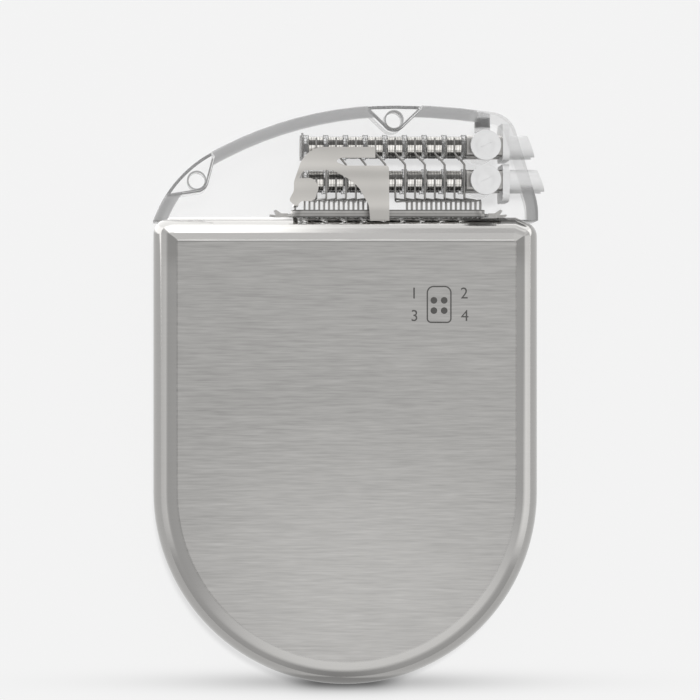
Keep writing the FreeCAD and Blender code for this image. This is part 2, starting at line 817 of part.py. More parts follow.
# Eye-shaped notch: two straight walls that run into a lobe round the hole, open to the outside
def notch_wire(first_tip, second_tip, centre, grow, z):
    radius = suture_radius + lobe_wall + grow
    opening = (second_tip - first_tip).normalize()
    first = first_tip - opening * grow * 2
    second = second_tip + opening * grow * 2
    start = touch_point(first, centre, radius, 1)
    end = touch_point(second, centre, radius, -1)
    outside = V(-opening.y, opening.x, 0) * 3 * radius
    middle_of_tips = (first_tip + second_tip) * 0.5
    away = (middle_of_tips - centre).normalize()
    if outside.dot(away) < 0:
        outside = outside * -1
    lobe = centre - away * radius
    first_out = first + (first - start).normalize() * radius + outside
    second_out = second + (second - end).normalize() * radius + outside
    up = V(0, 0, z)
    return Part.Wire([Part.LineSegment(first_out + up, first + up).toShape(),
                      Part.LineSegment(first + up, start + up).toShape(),
                      Part.Arc(start + up, lobe + up, end + up).toShape(),
                      Part.LineSegment(end + up, second + up).toShape(),
                      Part.LineSegment(second + up, second_out + up).toShape(),
                      Part.LineSegment(second_out + up, first_out + up).toShape()])


def notch(first_tip, second_tip, centre, front):
    side = 1 if front else -1
    floor = middle + side * web_thickness / 2
    top = middle + side * (header_thickness / 2 + plug_proud)
    wires = [notch_wire(first_tip, second_tip, centre, 0, floor),
             notch_wire(first_tip, second_tip, centre, notch_draft, top)]
    return Part.makeLoft(wires, True, True)


def suture_places():
    left_hole = V(left_hole_x, case_top + left_hole_height, 0)
    crown_hole = V(crown_hole_x, case_top + crown_hole_height, 0)
    low_tip = left_hole - V(left_notch_left, left_notch_fall, 0)
    high_tip = left_hole + V(left_notch_right, left_notch_rise, 0)
    return [(low_tip, high_tip, left_hole),
            (crown_hole + V(-crown_notch_reach, crown_notch_rise, 0),
             crown_hole + V(crown_notch_reach, crown_notch_rise, 0), crown_hole)]


# What the header is cast round
def embedded():
    pieces = [stack_bore(y, z) for y in rows().values() for z in depths().values()]
    for y in rows().values():
        for z in depths().values():
            pieces += [end_cap(y, z), plug_body(y, z)]
            corners = set_screw_block(y, z).BoundBox
            pieces.append(box(corners.XMin, corners.XMax, corners.YMin, corners.YMax,
                              corners.ZMin, corners.ZMax))
    for upper in (True, False):
        pieces.append(boot_body(upper))
        for front in (True, False):
            pieces += feed_wires(upper, front)
    pin_slot = box(first_pin_x - pin_pitch / 2, last_pin_x + pin_pitch / 2, case_top, pin_top,
                   middle - pin_radius, middle + pin_radius)
    return pieces + [pin_slot, antenna_pin(), antenna(), ferrule_body(), anchor_clip(True),
                     anchor_clip(False), fill_plug()]


def header_block():
    header = header_blank()
    low = case_top - header_skirt
    reach = 2 * case_half_width
    header = header.common(box(-reach, reach, low, case_top + header_height + 1, -1, case_thickness + 1))
    header = header.cut(case_body(0))
    for first_tip, second_tip, centre in suture_places():
        header = header.cut([notch(first_tip, second_tip, centre, True),
                             notch(first_tip, second_tip, centre, False)])
        header = header.cut(Part.makeCylinder(suture_radius, case_thickness, centre, OUT))
        rims = [edge for edge in header.Edges if is_hole_rim(edge, centre)]
        header = header.makeFillet(suture_edge, rims)
    return header.cut(embedded())


def is_hole_rim(edge, centre):
    if not isinstance(edge.Curve, Part.Circle):
        return False
    place = edge.Curve.Center
    near = math.hypot(place.x - centre.x, place.y - centre.y) < 0.01
    return near and abs(edge.Curve.Radius - suture_radius) < 0.001


nodes = {
    "case_front_shell": [case_shell(True)],
    "case_back_shell": [case_shell(False)],
    "weld_band": [weld_band()],
    "battery": [battery()],
    "battery_terminal": [battery_terminal()],
    "battery_tab_positive": [battery_tab(terminal_x)],
    "battery_tab_negative": [battery_tab(-terminal_x)],
    "board_frame": [board_frame()],
    "liner_front": [liner(True)],
    "liner_back": [liner(False)],
    "circuit_board": [circuit_board()],
    "controller_chip": [chip(controller_x, board_bottom + controller_rise, controller_size, controller_size)],
    "output_chip": [chip(output_x, board_bottom + output_rise, output_width, output_height)],
    "power_chip": [chip(case_half_width - power_inset, board_bottom + power_rise, power_size, power_size)],
    "capacitor_row": capacitors(),
    "crystal_can": [crystal_can()],
    "feedthrough_ferrule": [feedthrough_ferrule()],
    "feedthrough_ceramic": [feedthrough_ceramic()],
    "feedthrough_pins": feedthrough_pins(),
    "antenna_pin": [antenna_pin()],
    "antenna": [antenna()],
    "anchor_clip_left": [anchor_clip(False)],
    "anchor_clip_right": [anchor_clip(True)],
    "fill_plug": [fill_plug()],
    "header_block": [header_block()],
}
for row, y in rows().items():
    nodes["port_boot_" + row] = [port_boot(row == "upper")]
    for depth, z in depths().items():
        name = row + "_" + depth
        nodes["contact_rings_" + name] = contact_rings(y, z)
        nodes["seal_rings_" + name] = seal_rings(y, z)
        nodes["end_cap_" + name] = [end_cap(y, z)]
        nodes["set_screw_block_" + name] = [set_screw_block(y, z)]
        nodes["set_screw_" + name] = [set_screw(y, z)]
        nodes["septum_plug_" + name] = [septum_plug(y, z)]
        nodes["feed_wires_" + name] = feed_wires(row == "upper", depth == "front")

os.makedirs("parts", exist_ok=True)
for name, solids in nodes.items():
    group(solids).exportStep("parts/" + name + ".step")
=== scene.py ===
import bpy
import bmesh
import json
import math
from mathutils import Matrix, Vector


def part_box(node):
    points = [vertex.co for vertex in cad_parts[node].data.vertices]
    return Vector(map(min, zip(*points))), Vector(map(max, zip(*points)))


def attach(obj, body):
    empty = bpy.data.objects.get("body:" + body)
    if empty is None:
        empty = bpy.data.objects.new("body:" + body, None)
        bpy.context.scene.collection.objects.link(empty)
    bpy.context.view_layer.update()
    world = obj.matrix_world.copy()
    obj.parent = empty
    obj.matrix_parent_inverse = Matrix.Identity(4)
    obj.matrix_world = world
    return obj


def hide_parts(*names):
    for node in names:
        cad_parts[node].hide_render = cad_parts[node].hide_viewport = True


# Spinal cord stimulator generator, on its back on a pale studio floor.
# Metres; X to the right, Y towards the header, Z out of the front face.

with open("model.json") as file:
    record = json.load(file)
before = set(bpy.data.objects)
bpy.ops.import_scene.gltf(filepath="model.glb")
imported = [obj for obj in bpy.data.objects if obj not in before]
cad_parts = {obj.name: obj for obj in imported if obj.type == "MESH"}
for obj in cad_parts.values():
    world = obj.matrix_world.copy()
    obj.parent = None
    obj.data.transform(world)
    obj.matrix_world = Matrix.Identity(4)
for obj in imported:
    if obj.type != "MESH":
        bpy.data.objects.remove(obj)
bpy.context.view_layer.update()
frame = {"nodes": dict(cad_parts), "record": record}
nodes = frame["nodes"]
print("frame loaded:", len(nodes), "nodes")

mm = 0.001
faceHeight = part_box("case_front_shell")[1].z
# The case reaches a little past its weld band
bandInset = 0.37
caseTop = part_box("weld_band")[1].y + bandInset * mm


# Small helpers for node trees

def newMaterial(name):
    material = bpy.data.materials.new(name)
    material.use_nodes = True
    tree = material.node_tree
    surface = tree.nodes["Principled BSDF"]
    return material, tree, surface


def addNode(tree, kind, **settings):
    node = tree.nodes.new(kind)
    for key, value in settings.items():
        setattr(node, key, value)
    return node


def wire(tree, value, socket):
    if isinstance(value, bpy.types.NodeSocket):
        tree.links.new(value, socket)
    else:
        socket.default_value = value


def calc(tree, operation, *values, clamp=False):
    node = addNode(tree, "ShaderNodeMath", operation=operation, use_clamp=clamp)
    for value, socket in zip(values, node.inputs):
        wire(tree, value, socket)
    return node.outputs[0]


def times(tree, first, second, clamp=False):
    return calc(tree, "MULTIPLY", first, second, clamp=clamp)


def scaleAdd(tree, value, factor, base):
    return calc(tree, "MULTIPLY_ADD", value, factor, base)


def invert(tree, value):
    return calc(tree, "SUBTRACT", 1.0, value)


def setValues(node, **values):
    for label, value in values.items():
        node.inputs[label.replace("_", " ")].default_value = value


# Links named outputs of a source to the inputs of a node
def feed(tree, source, node, **links):
    for label, output in links.items():
        wire(tree, source.outputs[output], node.inputs[label.replace("_", " ")])


def splitXyz(tree, vector):
    node = addNode(tree, "ShaderNodeSeparateXYZ")
    wire(tree, vector, node.inputs[0])
    return node.outputs


# 0 below low, 1 above high, smooth between
def smoothMask(tree, value, low, high):
    node = addNode(tree, "ShaderNodeMapRange", interpolation_type="SMOOTHSTEP")
    wire(tree, value, node.inputs["Value"])
    setValues(node, From_Min=low, From_Max=high)
    return node.outputs["Result"]


# The same for a length and ends in millimetres
def lengthMask(tree, value, ends):
    return smoothMask(tree, value, ends[0] * mm, ends[1] * mm)


def awayFrom(tree, value, centre):
    return calc(tree, "ABSOLUTE", calc(tree, "SUBTRACT", value, centre))


# 1 at the centre, 0 at a half width away, smooth
def bandMask(tree, value, centre, halfBand):
    return invert(tree, smoothMask(tree, awayFrom(tree, value, centre), 0, halfBand))


def mixColour(tree, factor, first, second, blend="MIX"):
    node = addNode(tree, "ShaderNodeMix", data_type="RGBA", blend_type=blend)
    wire(tree, factor, node.inputs["Factor"])
    wire(tree, first, node.inputs[6])
    wire(tree, second, node.inputs[7])
    return node.outputs[2]


def grey(value, warm=0.0):
    return (value * (1 + warm), value, value * (1 - 1.6 * warm), 1.0)


def linear(level):
    return ((level / 255 + 0.055) / 1.055) ** 2.4


# Group of a kind, with inputs as (name, kind, value) and outputs as (name, kind)
def newGroup(treeKind, name, inputs, outputs):
    group = bpy.data.node_groups.new(name, treeKind + "NodeTree")
    for label, kind, value in inputs:
        socket = group.interface.new_socket(name=label, in_out="INPUT", socket_type="NodeSocket" + kind)
        if value is not None:
            socket.default_value = value
    for label, kind in outputs:
        group.interface.new_socket(name=label, in_out="OUTPUT", socket_type="NodeSocket" + kind)
    return group, addNode(group, "NodeGroupInput"), addNode(group, "NodeGroupOutput")


def placeGroup(tree, group, **values):
    node = addNode(tree, "ShaderNodeGroup", node_tree=group)
    for label, value in values.items():
        wire(tree, value, node.inputs[label])
    return node


# Shared effects

# Fine parallel scratches along X: a mask around 0.5
def buildBrushGrain():
    group, start, end = newGroup(
        "Shader", "brushGrain",
        [("Vector", "Vector", (0, 0, 0)), ("Length", "Float", 5.0), ("Pitch", "Float", 0.3)],
        [("Streak", "Float")])
    parts = splitXyz(group, start.outputs["Vector"])
    layers = []
    for share, offset in ((1.0, 0.0), (0.42, 3.1), (2.3, 7.7)):
        along = calc(group, "DIVIDE", calc(group, "DIVIDE", parts["X"], start.outputs["Length"]), share * mm)
        across = calc(group, "DIVIDE", calc(group, "DIVIDE", parts["Y"], start.outputs["Pitch"]), share * mm)
        place = addNode(group, "ShaderNodeCombineXYZ")
        wire(group, calc(group, "ADD", along, offset), place.inputs["X"])
        wire(group, across, place.inputs["Y"])
        place.inputs["Z"].default_value = offset
        noise = addNode(group, "ShaderNodeTexNoise", noise_dimensions="3D")
        setValues(noise, Scale=1.0, Detail=1.0)
        wire(group, place.outputs[0], noise.inputs["Vector"])
        layers.append(noise.outputs["Fac"])
    mixed = calc(group, "ADD", times(group, layers[0], 0.45),
                 calc(group, "ADD", times(group, layers[1], 0.3), times(group, layers[2], 0.25)))
    wire(group, mixed, end.inputs["Streak"])
    return group


# Soft uneven cloud, as moulded silicone and cast resin have
def buildCloud():
    group, start, end = newGroup(
        "Shader", "softCloud",
        [("Vector", "Vector", (0, 0, 0)), ("Size", "Float", 2.0)],
        [("Cloud", "Float"), ("Grain", "Float")])
    for label, share, detail in (("Cloud", 1.0, 2.0), ("Grain", 0.05, 3.0)):
        scaled = addNode(group, "ShaderNodeVectorMath", operation="SCALE")
        wire(group, start.outputs["Vector"], scaled.inputs[0])
        wire(group, calc(group, "DIVIDE", 1 / (mm * share), start.outputs["Size"]), scaled.inputs["Scale"])
        noise = addNode(group, "ShaderNodeTexNoise")
        setValues(noise, Scale=1.0, Detail=detail)
        wire(group, scaled.outputs[0], noise.inputs["Vector"])
        wire(group, noise.outputs["Fac"], end.inputs[label])
    return group


brushGrain = buildBrushGrain()
softCloud = buildCloud()


def objectPlace(tree):
    return addNode(tree, "ShaderNodeTexCoord").outputs["Object"]


def objectNormal(tree):
    return splitXyz(tree, addNode(tree, "ShaderNodeTexCoord").outputs["Normal"])


def rayIs(tree, kind):
    return addNode(tree, "ShaderNodeLightPath").outputs["Is " + kind + " Ray"]


def setBump(tree, surface, height, strength, distance):
    bump = addNode(tree, "ShaderNodeBump")
    setValues(bump, Strength=strength, Distance=distance)
    wire(tree, height, bump.inputs["Height"])
    wire(tree, bump.outputs[0], surface.inputs["Normal"])


# Clear pieces hold back little light: full alpha only for what the camera sees
def clearAlpha(tree, alpha, kept=0.1):
    share = scaleAdd(tree, rayIs(tree, "Camera"), 1 - kept, kept)
    return times(tree, alpha, share, clamp=True)


# Pieces in the clear casting, which bends light round them, cast only faint shadows: full alpha only for what
# the camera sees, and for what is seen in a mirroring surface if mirrored
def castInside(material, kept=0.1, mirrored=True):
    tree = material.node_tree
    surface = tree.nodes["Principled BSDF"]
    socket = surface.inputs["Alpha"]
    alpha = socket.links[0].from_socket if socket.links else socket.default_value
    seen = rayIs(tree, "Camera")
    if mirrored:
        seen = calc(tree, "MAXIMUM", seen, rayIs(tree, "Glossy"))
    share = scaleAdd(tree, seen, 1 - kept, kept)
    wire(tree, times(tree, share, alpha), socket)
    return material


def placeCloud(tree, size):
    return placeGroup(tree, softCloud, Vector=objectPlace(tree), Size=size)


# Uneven tone around 1 from a cloud
def cloudTone(tree, cloud, spread):
    return scaleAdd(tree, calc(tree, "SUBTRACT", cloud.outputs["Cloud"], 0.5), spread, 1.0)


def setColour(tree, surface, colour, tone):
    wire(tree, mixColour(tree, 1.0, colour, tone, "MULTIPLY"), surface.inputs["Base Color"])


# Metals

# Brushed titanium, with amounts of painted light and shade: the light patch on the face, the lighter inner bevel,
# and the lines under the top edge
titanium = dict(level=0.40, glow=0.24, warm=0.016, faceRough=0.34, edgeRough=0.1, streak=0.2, edgeStreak=0.1,
                streakLength=5.0, streakPitch=0.26, streakRough=0.3, bump=0.12, border=(0.12, 0.01),
                bevel=(1.35, 0.02), bevelPaintedLight=0.22, shoulder=(28.0, 31.0),
                # Painted highlight line and painted shade line under the top edge of the face: (offset, half
                # width, change)
                lineDrop=3.15, lineEnds=(21.2, 22.0), lines=((0.07, 0.1, 0.34), (-0.09, 0.12, -0.3)))
paintedSpot = dict(squeeze=0.85, x=-0.5, y=13.5, near=2.0, far=30.0, slope=0.006, base=-0.12)


# Painted highlight: a light patch low on the face, fading out towards the shoulders, lighter towards the right
def paintedLightSpot(tree, place):
    shift = addNode(tree, "ShaderNodeVectorMath", operation="MULTIPLY_ADD")
    wire(tree, place, shift.inputs[0])
    shift.inputs[1].default_value = (paintedSpot["squeeze"] / mm, 1 / mm, 0)
    shift.inputs[2].default_value = (paintedSpot["x"], paintedSpot["y"], 0)
    reach = addNode(tree, "ShaderNodeVectorMath", operation="LENGTH")
    wire(tree, shift.outputs[0], reach.inputs[0])
    near = invert(tree, smoothMask(tree, reach.outputs["Value"], paintedSpot["near"], paintedSpot["far"]))
    parts = splitXyz(tree, place)
    slope = scaleAdd(tree, parts["X"], paintedSpot["slope"] / mm, paintedSpot["base"])
    return calc(tree, "ADD", near, slope)


# Brushed flat faces, and polished rolled edges, with painted light and shade on the face, the bevel and the top
# edge
def titaniumShell():
    material, tree, surface = newMaterial("titaniumShell")
    place = objectPlace(tree)
    parts = splitXyz(tree, place)
    fromMiddle = awayFrom(tree, parts["Z"], faceHeight / 2)
    onFace = smoothMask(tree, fromMiddle, *(faceHeight / 2 - drop * mm for drop in titanium["border"]))
    grain = placeGroup(tree, brushGrain, Vector=place, Length=titanium["streakLength"],
                       Pitch=titanium["streakPitch"])
    wave = calc(tree, "SUBTRACT", grain.outputs["Streak"], 0.5)
    wave = times(tree, wave, scaleAdd(tree, onFace, titanium["streak"] * 4, titanium["edgeStreak"]))
    # Painted highlight: the light patch lifts the face's tone
    glow = times(tree, paintedLightSpot(tree, place), onFace)
    glow = scaleAdd(tree, glow, titanium["glow"], 1.0)
    tone = calc(tree, "ADD", wave, glow)
    # Painted light: off the face, the bevel grows lighter towards the face, below the shoulders
    rise = smoothMask(tree, parts["Z"], *(faceHeight - drop * mm for drop in titanium["bevel"]))
    rise = times(tree, rise, invert(tree, lengthMask(tree, parts["Y"], titanium["shoulder"])))
    rise = times(tree, rise, invert(tree, onFace))
    tone = scaleAdd(tree, rise, titanium["bevelPaintedLight"], tone)
    # Painted highlight line and painted shade line along the crease under the top edge
    inside = invert(tree, lengthMask(tree, calc(tree, "ABSOLUTE", parts["X"]), titanium["lineEnds"]))
    border = caseTop - titanium["lineDrop"] * mm
    for offset, halfLine, change in titanium["lines"]:
        line = bandMask(tree, parts["Y"], border + offset * mm, halfLine * mm)
        tone = scaleAdd(tree, times(tree, line, inside), change, tone)
    setColour(tree, surface, grey(titanium["level"], titanium["warm"]), tone)
    setValues(surface, Metallic=1.0)
    edge = titanium["edgeRough"]
    rough = scaleAdd(tree, onFace, titanium["faceRough"] - edge, edge)
    rough = calc(tree, "ADD", rough, times(tree, wave, titanium["streakRough"]))
    wire(tree, rough, surface.inputs["Roughness"])
    setBump(tree, surface, times(tree, grain.outputs["Streak"], onFace), titanium["bump"], 0.02 * mm)
    return material


# Satin machined or drawn metal, with fine turning marks
def satinMetal(name, level, warm, rough, marks=0.08, size=1.5):
    material, tree, surface = newMaterial(name)
    cloud = placeCloud(tree, size)
    setColour(tree, surface, grey(level, warm), cloudTone(tree, cloud, marks * 4))
    setValues(surface, Metallic=1.0)
    spread = scaleAdd(tree, calc(tree, "SUBTRACT", cloud.outputs["Grain"], 0.5), marks * 2, rough)
    wire(tree, spread, surface.inputs["Roughness"])
    setBump(tree, surface, cloud.outputs["Grain"], 0.06, 0.01 * mm)
    return material


# Painted light and shade: soft lighter and darker bands across a height, as (Y in mm, share)
def paintedLightBands(material, bands):
    tree = material.node_tree
    surface = tree.nodes["Principled BSDF"]
    parts = splitXyz(tree, objectPlace(tree))
    first, last = bands[0][0], bands[-1][0]
    ramp = addNode(tree, "ShaderNodeValToRGB")
    ramp.color_ramp.interpolation = "EASE"
    reach = scaleAdd(tree, parts["Y"], 1 / (mm * (last - first)), -first / (last - first))
    wire(tree, reach, ramp.inputs[0])
    stops = ramp.color_ramp.elements
    while len(stops) < len(bands):
        stops.new(0.5)
    for stop, (height, share) in zip(stops, bands):
        stop.position = (height - first) / (last - first)
    for stop, (height, share) in zip(stops, bands):
        stop.color = grey(share)
    colour = surface.inputs["Base Color"].links[0].from_socket
    setColour(tree, surface, colour, ramp.outputs[0])
    return material


# Painted sheen across the antenna sheet, and painted highlights and shade across the ferrule's steps
sheetLightBands = [(35.3, 0.76), (36.0, 0.78), (37.0, 0.98), (38.6, 0.87), (39.7, 0.94), (40.9, 0.80), (42.2, 1.0),
              (43.2, 0.90), (44.3, 0.82), (45.8, 0.95)]
ferruleLightBands = [(35.42, 0.1), (35.56, 0.16), (35.64, 0.75), (35.9, 0.85), (35.97, 0.4), (36.04, 0.9),
                (36.3, 1.0), (36.38, 0.35), (36.5, 0.3)]


clip = dict(top=0.42, side=0.1, warm=0.02, flat=(0.8, 0.98))


# Metal of the anchor clips: painted light, paler on the flat top, and painted shade where it turns away
def clipMetal():
    material, tree, surface = newMaterial("clipMetal")
    flat = smoothMask(tree, objectNormal(tree)["Z"], *clip["flat"])
    cloud = placeCloud(tree, 0.5)
    colour = mixColour(tree, flat, grey(clip["side"], clip["warm"]), grey(clip["top"], clip["warm"]))
    setColour(tree, surface, colour, cloudTone(tree, cloud, 0.8))
    setValues(surface, Metallic=0.5)
    wire(tree, scaleAdd(tree, cloud.outputs["Grain"], 0.2, 0.2), surface.inputs["Roughness"])
    return material


# Moulded plastics, rubber, film and ceramic
def mouldedResin(name, colour, rough, marks=0.05, size=2.0, alpha=1.0):
    material, tree, surface = newMaterial(name)
    cloud = placeCloud(tree, size)
    setColour(tree, surface, (*colour, 1.0), cloudTone(tree, cloud, marks * 4))
    setValues(surface, Roughness=rough, Alpha=alpha)
    setBump(tree, surface, cloud.outputs["Grain"], 0.05, 0.01 * mm)
    return material


epoxy = dict(clear=0.012, rim=0.72, back=0.4, grey=0.28, edge=0.3, ports=0.22, turned=(0.985, 0.9996),
             portSide=(16.4, 17.1), portFoot=(38.9, 39.6), middle=0.5)


# Clear cast resin: nearly unseen on the flats, with painted shade in grey on the rolled rim and where the surface
# turns away, standing in for light bent there; fainter at the back and round the ports
def castEpoxy():
    material, tree, surface = newMaterial("castEpoxy")
    lift = calc(tree, "ABSOLUTE", objectNormal(tree)["Z"])
    turned = invert(tree, smoothMask(tree, lift, *epoxy["turned"]))
    alpha = scaleAdd(tree, turned, epoxy["rim"], epoxy["clear"])
    facing = addNode(tree, "ShaderNodeLayerWeight")
    facing.inputs["Blend"].default_value = 0.3
    alpha = scaleAdd(tree, facing.outputs["Facing"], epoxy["edge"], alpha)
    parts = splitXyz(tree, objectPlace(tree))
    depth = smoothMask(tree, parts["Z"], *(faceHeight / 2 + side * epoxy["middle"] * mm for side in (-1, 1)))
    alpha = times(tree, alpha, scaleAdd(tree, depth, 1 - epoxy["back"], epoxy["back"]))
    ports = times(tree, lengthMask(tree, parts["X"], epoxy["portSide"]),
                  lengthMask(tree, parts["Y"], epoxy["portFoot"]))
    alpha = times(tree, alpha, scaleAdd(tree, ports, epoxy["ports"] - 1, 1.0))
    wire(tree, clearAlpha(tree, alpha), surface.inputs["Alpha"])
    cloud = placeCloud(tree, 6.0)
    # Grey base under the rising alpha: painted shade of the rim
    setColour(tree, surface, grey(epoxy["grey"]), cloudTone(tree, cloud, 0.08))
    setValues(surface, Roughness=0.35, Specular_IOR_Level=0.25)
    return material


sealRubber = dict(clear=0.07, edge=0.6, dark=0.12, pale=0.7, rim=(0.3, 0.6), side=(0.86, 0.97), spots=0.15)


# Clear silicone of the seals: dark only at its rims, painted shade for the outlines of a clear part
def clearSilicone():
    material, tree, surface = newMaterial("siliconeClear")
    normal = objectNormal(tree)
    rim = smoothMask(tree, calc(tree, "ABSOLUTE", normal["X"]), *sealRubber["rim"])
    side = smoothMask(tree, calc(tree, "ABSOLUTE", normal["Y"]), *sealRubber["side"])
    edge = calc(tree, "MAXIMUM", rim, side)
    alpha = scaleAdd(tree, edge, sealRubber["edge"] - sealRubber["clear"], sealRubber["clear"])
    wire(tree, clearAlpha(tree, alpha, 0.3), surface.inputs["Alpha"])
    cloud = placeCloud(tree, 0.5)
    spots = calc(tree, "SUBTRACT", cloud.outputs["Cloud"], 0.5)
    edge = calc(tree, "MULTIPLY_ADD", spots, sealRubber["spots"], edge, clamp=True)
    colour = mixColour(tree, edge, grey(sealRubber["pale"]), grey(sealRubber["dark"], 0.03))
    wire(tree, colour, surface.inputs["Base Color"])
    setValues(surface, Roughness=0.45, Specular_IOR_Level=0.08)
    return material


# Bands of painted reflection and shade by the normal's Y, each: where it begins, and where it ends
ringAlloy = dict(pale=0.80, middle=0.42, dark=0.07, warm=0.03, groove=0.36, grooveDepth=0.3,
                 paintedShine=((-0.66, -0.58), (0.04, 0.1)), upper=((0.55, 0.66), (0.9, 0.97)), line=(-0.44, 0.05),
                 lineDepth=0.7)


def normalBand(tree, value, ends):
    begin, end = ends
    return times(tree, smoothMask(tree, value, *begin), invert(tree, smoothMask(tree, value, *end)))


# Turned rings: a painted reflection band along the row between darker, grooved ones of painted shade
def paintedShineAlloy():
    material, tree, surface = newMaterial("paintedShineAlloy")
    up = objectNormal(tree)["Y"]
    paintedShine = normalBand(tree, up, ringAlloy["paintedShine"])
    line = bandMask(tree, up, *ringAlloy["line"])
    paintedShine = times(tree, paintedShine, invert(tree, times(tree, line, ringAlloy["lineDepth"])))
    upper = normalBand(tree, up, ringAlloy["upper"])
    cloud = placeCloud(tree, 0.6)
    spots = cloudTone(tree, cloud, 0.9)
    # Painted shade, a middle tone above, and the painted reflection band, all by the normal's Y
    colour = mixColour(tree, upper, grey(ringAlloy["dark"], ringAlloy["warm"]),
                       grey(ringAlloy["middle"], ringAlloy["warm"]))
    colour = mixColour(tree, paintedShine, colour, grey(ringAlloy["pale"], ringAlloy["warm"]))
    parts = splitXyz(tree, objectPlace(tree))
    groove = calc(tree, "SINE", times(tree, parts["X"], 2 * math.pi / (ringAlloy["groove"] * mm)))
    spots = times(tree, spots, scaleAdd(tree, groove, ringAlloy["grooveDepth"], 1.0))
    setColour(tree, surface, colour, spots)
    setValues(surface, Metallic=0.6)
    wire(tree, scaleAdd(tree, cloud.outputs["Grain"], 0.2, 0.15), surface.inputs["Roughness"])
    return material


plug = dict(foot=0.5, top=0.11, joint=(47.05, 47.3), crown=(48.2, 48.6), clear=0.35, joined=0.5, fade=-0.7)


# Resin of the fill plug: pale at its foot, dark at the joint, thin at the crown
def plugResin():
    material, tree, surface = newMaterial("plugResin")
    parts = splitXyz(tree, objectPlace(tree))
    top = lengthMask(tree, parts["Y"], plug["joint"])
    crown = lengthMask(tree, parts["Y"], plug["crown"])
    cloud = placeCloud(tree, 1.2)
    colour = mixColour(tree, top, grey(plug["foot"]), grey(plug["top"]))
    setColour(tree, surface, colour, cloudTone(tree, cloud, 0.5))
    alpha = scaleAdd(tree, top, plug["joined"], plug["clear"])
    alpha = times(tree, alpha, scaleAdd(tree, crown, plug["fade"], 1.0))
    wire(tree, clearAlpha(tree, alpha, 0.3), surface.inputs["Alpha"])
    setValues(surface, Roughness=0.3)
    return material


materials = {
    "titanium_shell": titaniumShell(),
    "titanium_parts": satinMetal("satinTitanium", 0.36, 0.02, 0.3),
    "antenna_sheet": castInside(paintedLightBands(satinMetal("rolledSheet", 0.58, 0.03, 0.3, 0.03, 5.0), sheetLightBands)),
    "contact_alloy": castInside(paintedShineAlloy()),
    "feed_wire": castInside(satinMetal("drawnWire", 0.30, 0.02, 0.3)),
    "header_epoxy": castEpoxy(),
    "silicone_white": castInside(mouldedResin("siliconeWhite", (0.78, 0.78, 0.78), 0.38, alpha=0.92), 0.15),
    "silicone_clear": clearSilicone(),
    "ceramic": mouldedResin("glazedCeramic", (0.72, 0.70, 0.66), 0.25),
    "battery_can": satinMetal("drawnCan", 0.45, 0.01, 0.35),
    "carrier_polymer": mouldedResin("carrierPolymer", (0.62, 0.58, 0.46), 0.5),
    "liner_film": mouldedResin("linerFilm", (0.48, 0.2, 0.03), 0.4),
    "board_laminate": mouldedResin("boardLaminate", (0.01, 0.09, 0.03), 0.4),
    "chip_resin": mouldedResin("chipResin", (0.012, 0.012, 0.013), 0.5),
}
printInk = mouldedResin("printInk", (0.075, 0.073, 0.07), 0.6, 0.06, 0.4)
# Grey tubes as painted shade lines round the windows
shadeLineResin = castInside(mouldedResin("shadeLineResin", (0.27, 0.27, 0.27), 0.4, 0.08, 1.5, alpha=0.8), 0.1, False)
print("materials made:", len(materials))

slotOf = {part["node"]: part["material_slot"] for part in frame["record"]["subparts"]}
for name, node in nodes.items():
    for place in node.material_slots:
        place.material = materials[slotOf[name]]


# Rear septum plugs, pale where they show past the front ones, with a painted glow that lights them in their shade
def glowingRearSilicone():
    material = castInside(mouldedResin("siliconeRear", (0.75, 0.75, 0.75), 0.5, alpha=0.4), 0.1)
    surface = material.node_tree.nodes["Principled BSDF"]
    # Painted glow: emission where the plugs sit in shade
    setValues(surface, Emission_Color=grey(0.6), Emission_Strength=0.8)
    return material


ferruleMetal = castInside(paintedLightBands(satinMetal("ferruleMetal", 0.40, 0.02, 0.3), ferruleLightBands), 0.2, False)
ownMaterials = [
    (["fill_plug"], plugResin()),
    (["feedthrough_ferrule"], ferruleMetal),
    (["anchor_clip_left", "anchor_clip_right"], castInside(clipMetal(), 0.2, False)),
    (["feedthrough_ceramic"], castInside(mouldedResin("sealedCeramic", (0.4, 0.39, 0.37), 0.3), 0.2, False)),
    (["end_cap_" + key for key in ("upper_front", "upper_rear", "lower_front", "lower_rear")],
     castInside(mouldedResin("capMetal", (0.16, 0.155, 0.15), 0.35, alpha=0.45))),
    (["septum_plug_upper_rear", "septum_plug_lower_rear"], glowingRearSilicone()),
]
for names, material in ownMaterials:
    for name in names:
        for place in nodes[name].material_slots:
            place.material = material


# Building blocks for meshes

def place3(x, y, z):
    return Vector((x * mm, y * mm, z * mm))


def newPiece(name, mesh):
    piece = bpy.data.objects.new(name, mesh)
    bpy.context.scene.collection.objects.link(piece)
    return piece


def shadeSmooth(mesh, angle=30.0):
    mesh.shade_smooth()
    mesh.set_sharp_from_angle(angle=math.radians(angle))


def plainMesh(piece):
    depsgraph = bpy.context.evaluated_depsgraph_get()
    return bpy.data.meshes.new_from_object(piece.evaluated_get(depsgraph), depsgraph=depsgraph)


# Takes the shape that the modifiers give, as a plain mesh
def bakeModifiers(piece):
    mesh = plainMesh(piece)
    piece.modifiers.clear()
    piece.data = mesh
    return piece


def turnVector(vector, angle):
    return Vector((vector.x * math.cos(angle) - vector.y * math.sin(angle),
                   vector.x * math.sin(angle) + vector.y * math.cos(angle)))


# Quads between two rings of equally many points
def joinRings(shape, near, far):
    for i in range(len(near)):
        j = (i + 1) % len(near)
        shape.faces.new((near[i], near[j], far[j], far[i]))


# Plain mesh of a bmesh, normals outward
def closeMesh(name, shape):
    bmesh.ops.recalc_face_normals(shape, faces=shape.faces)
    mesh = bpy.data.meshes.new(name)
    shape.to_mesh(mesh)
    shape.free()
    return mesh


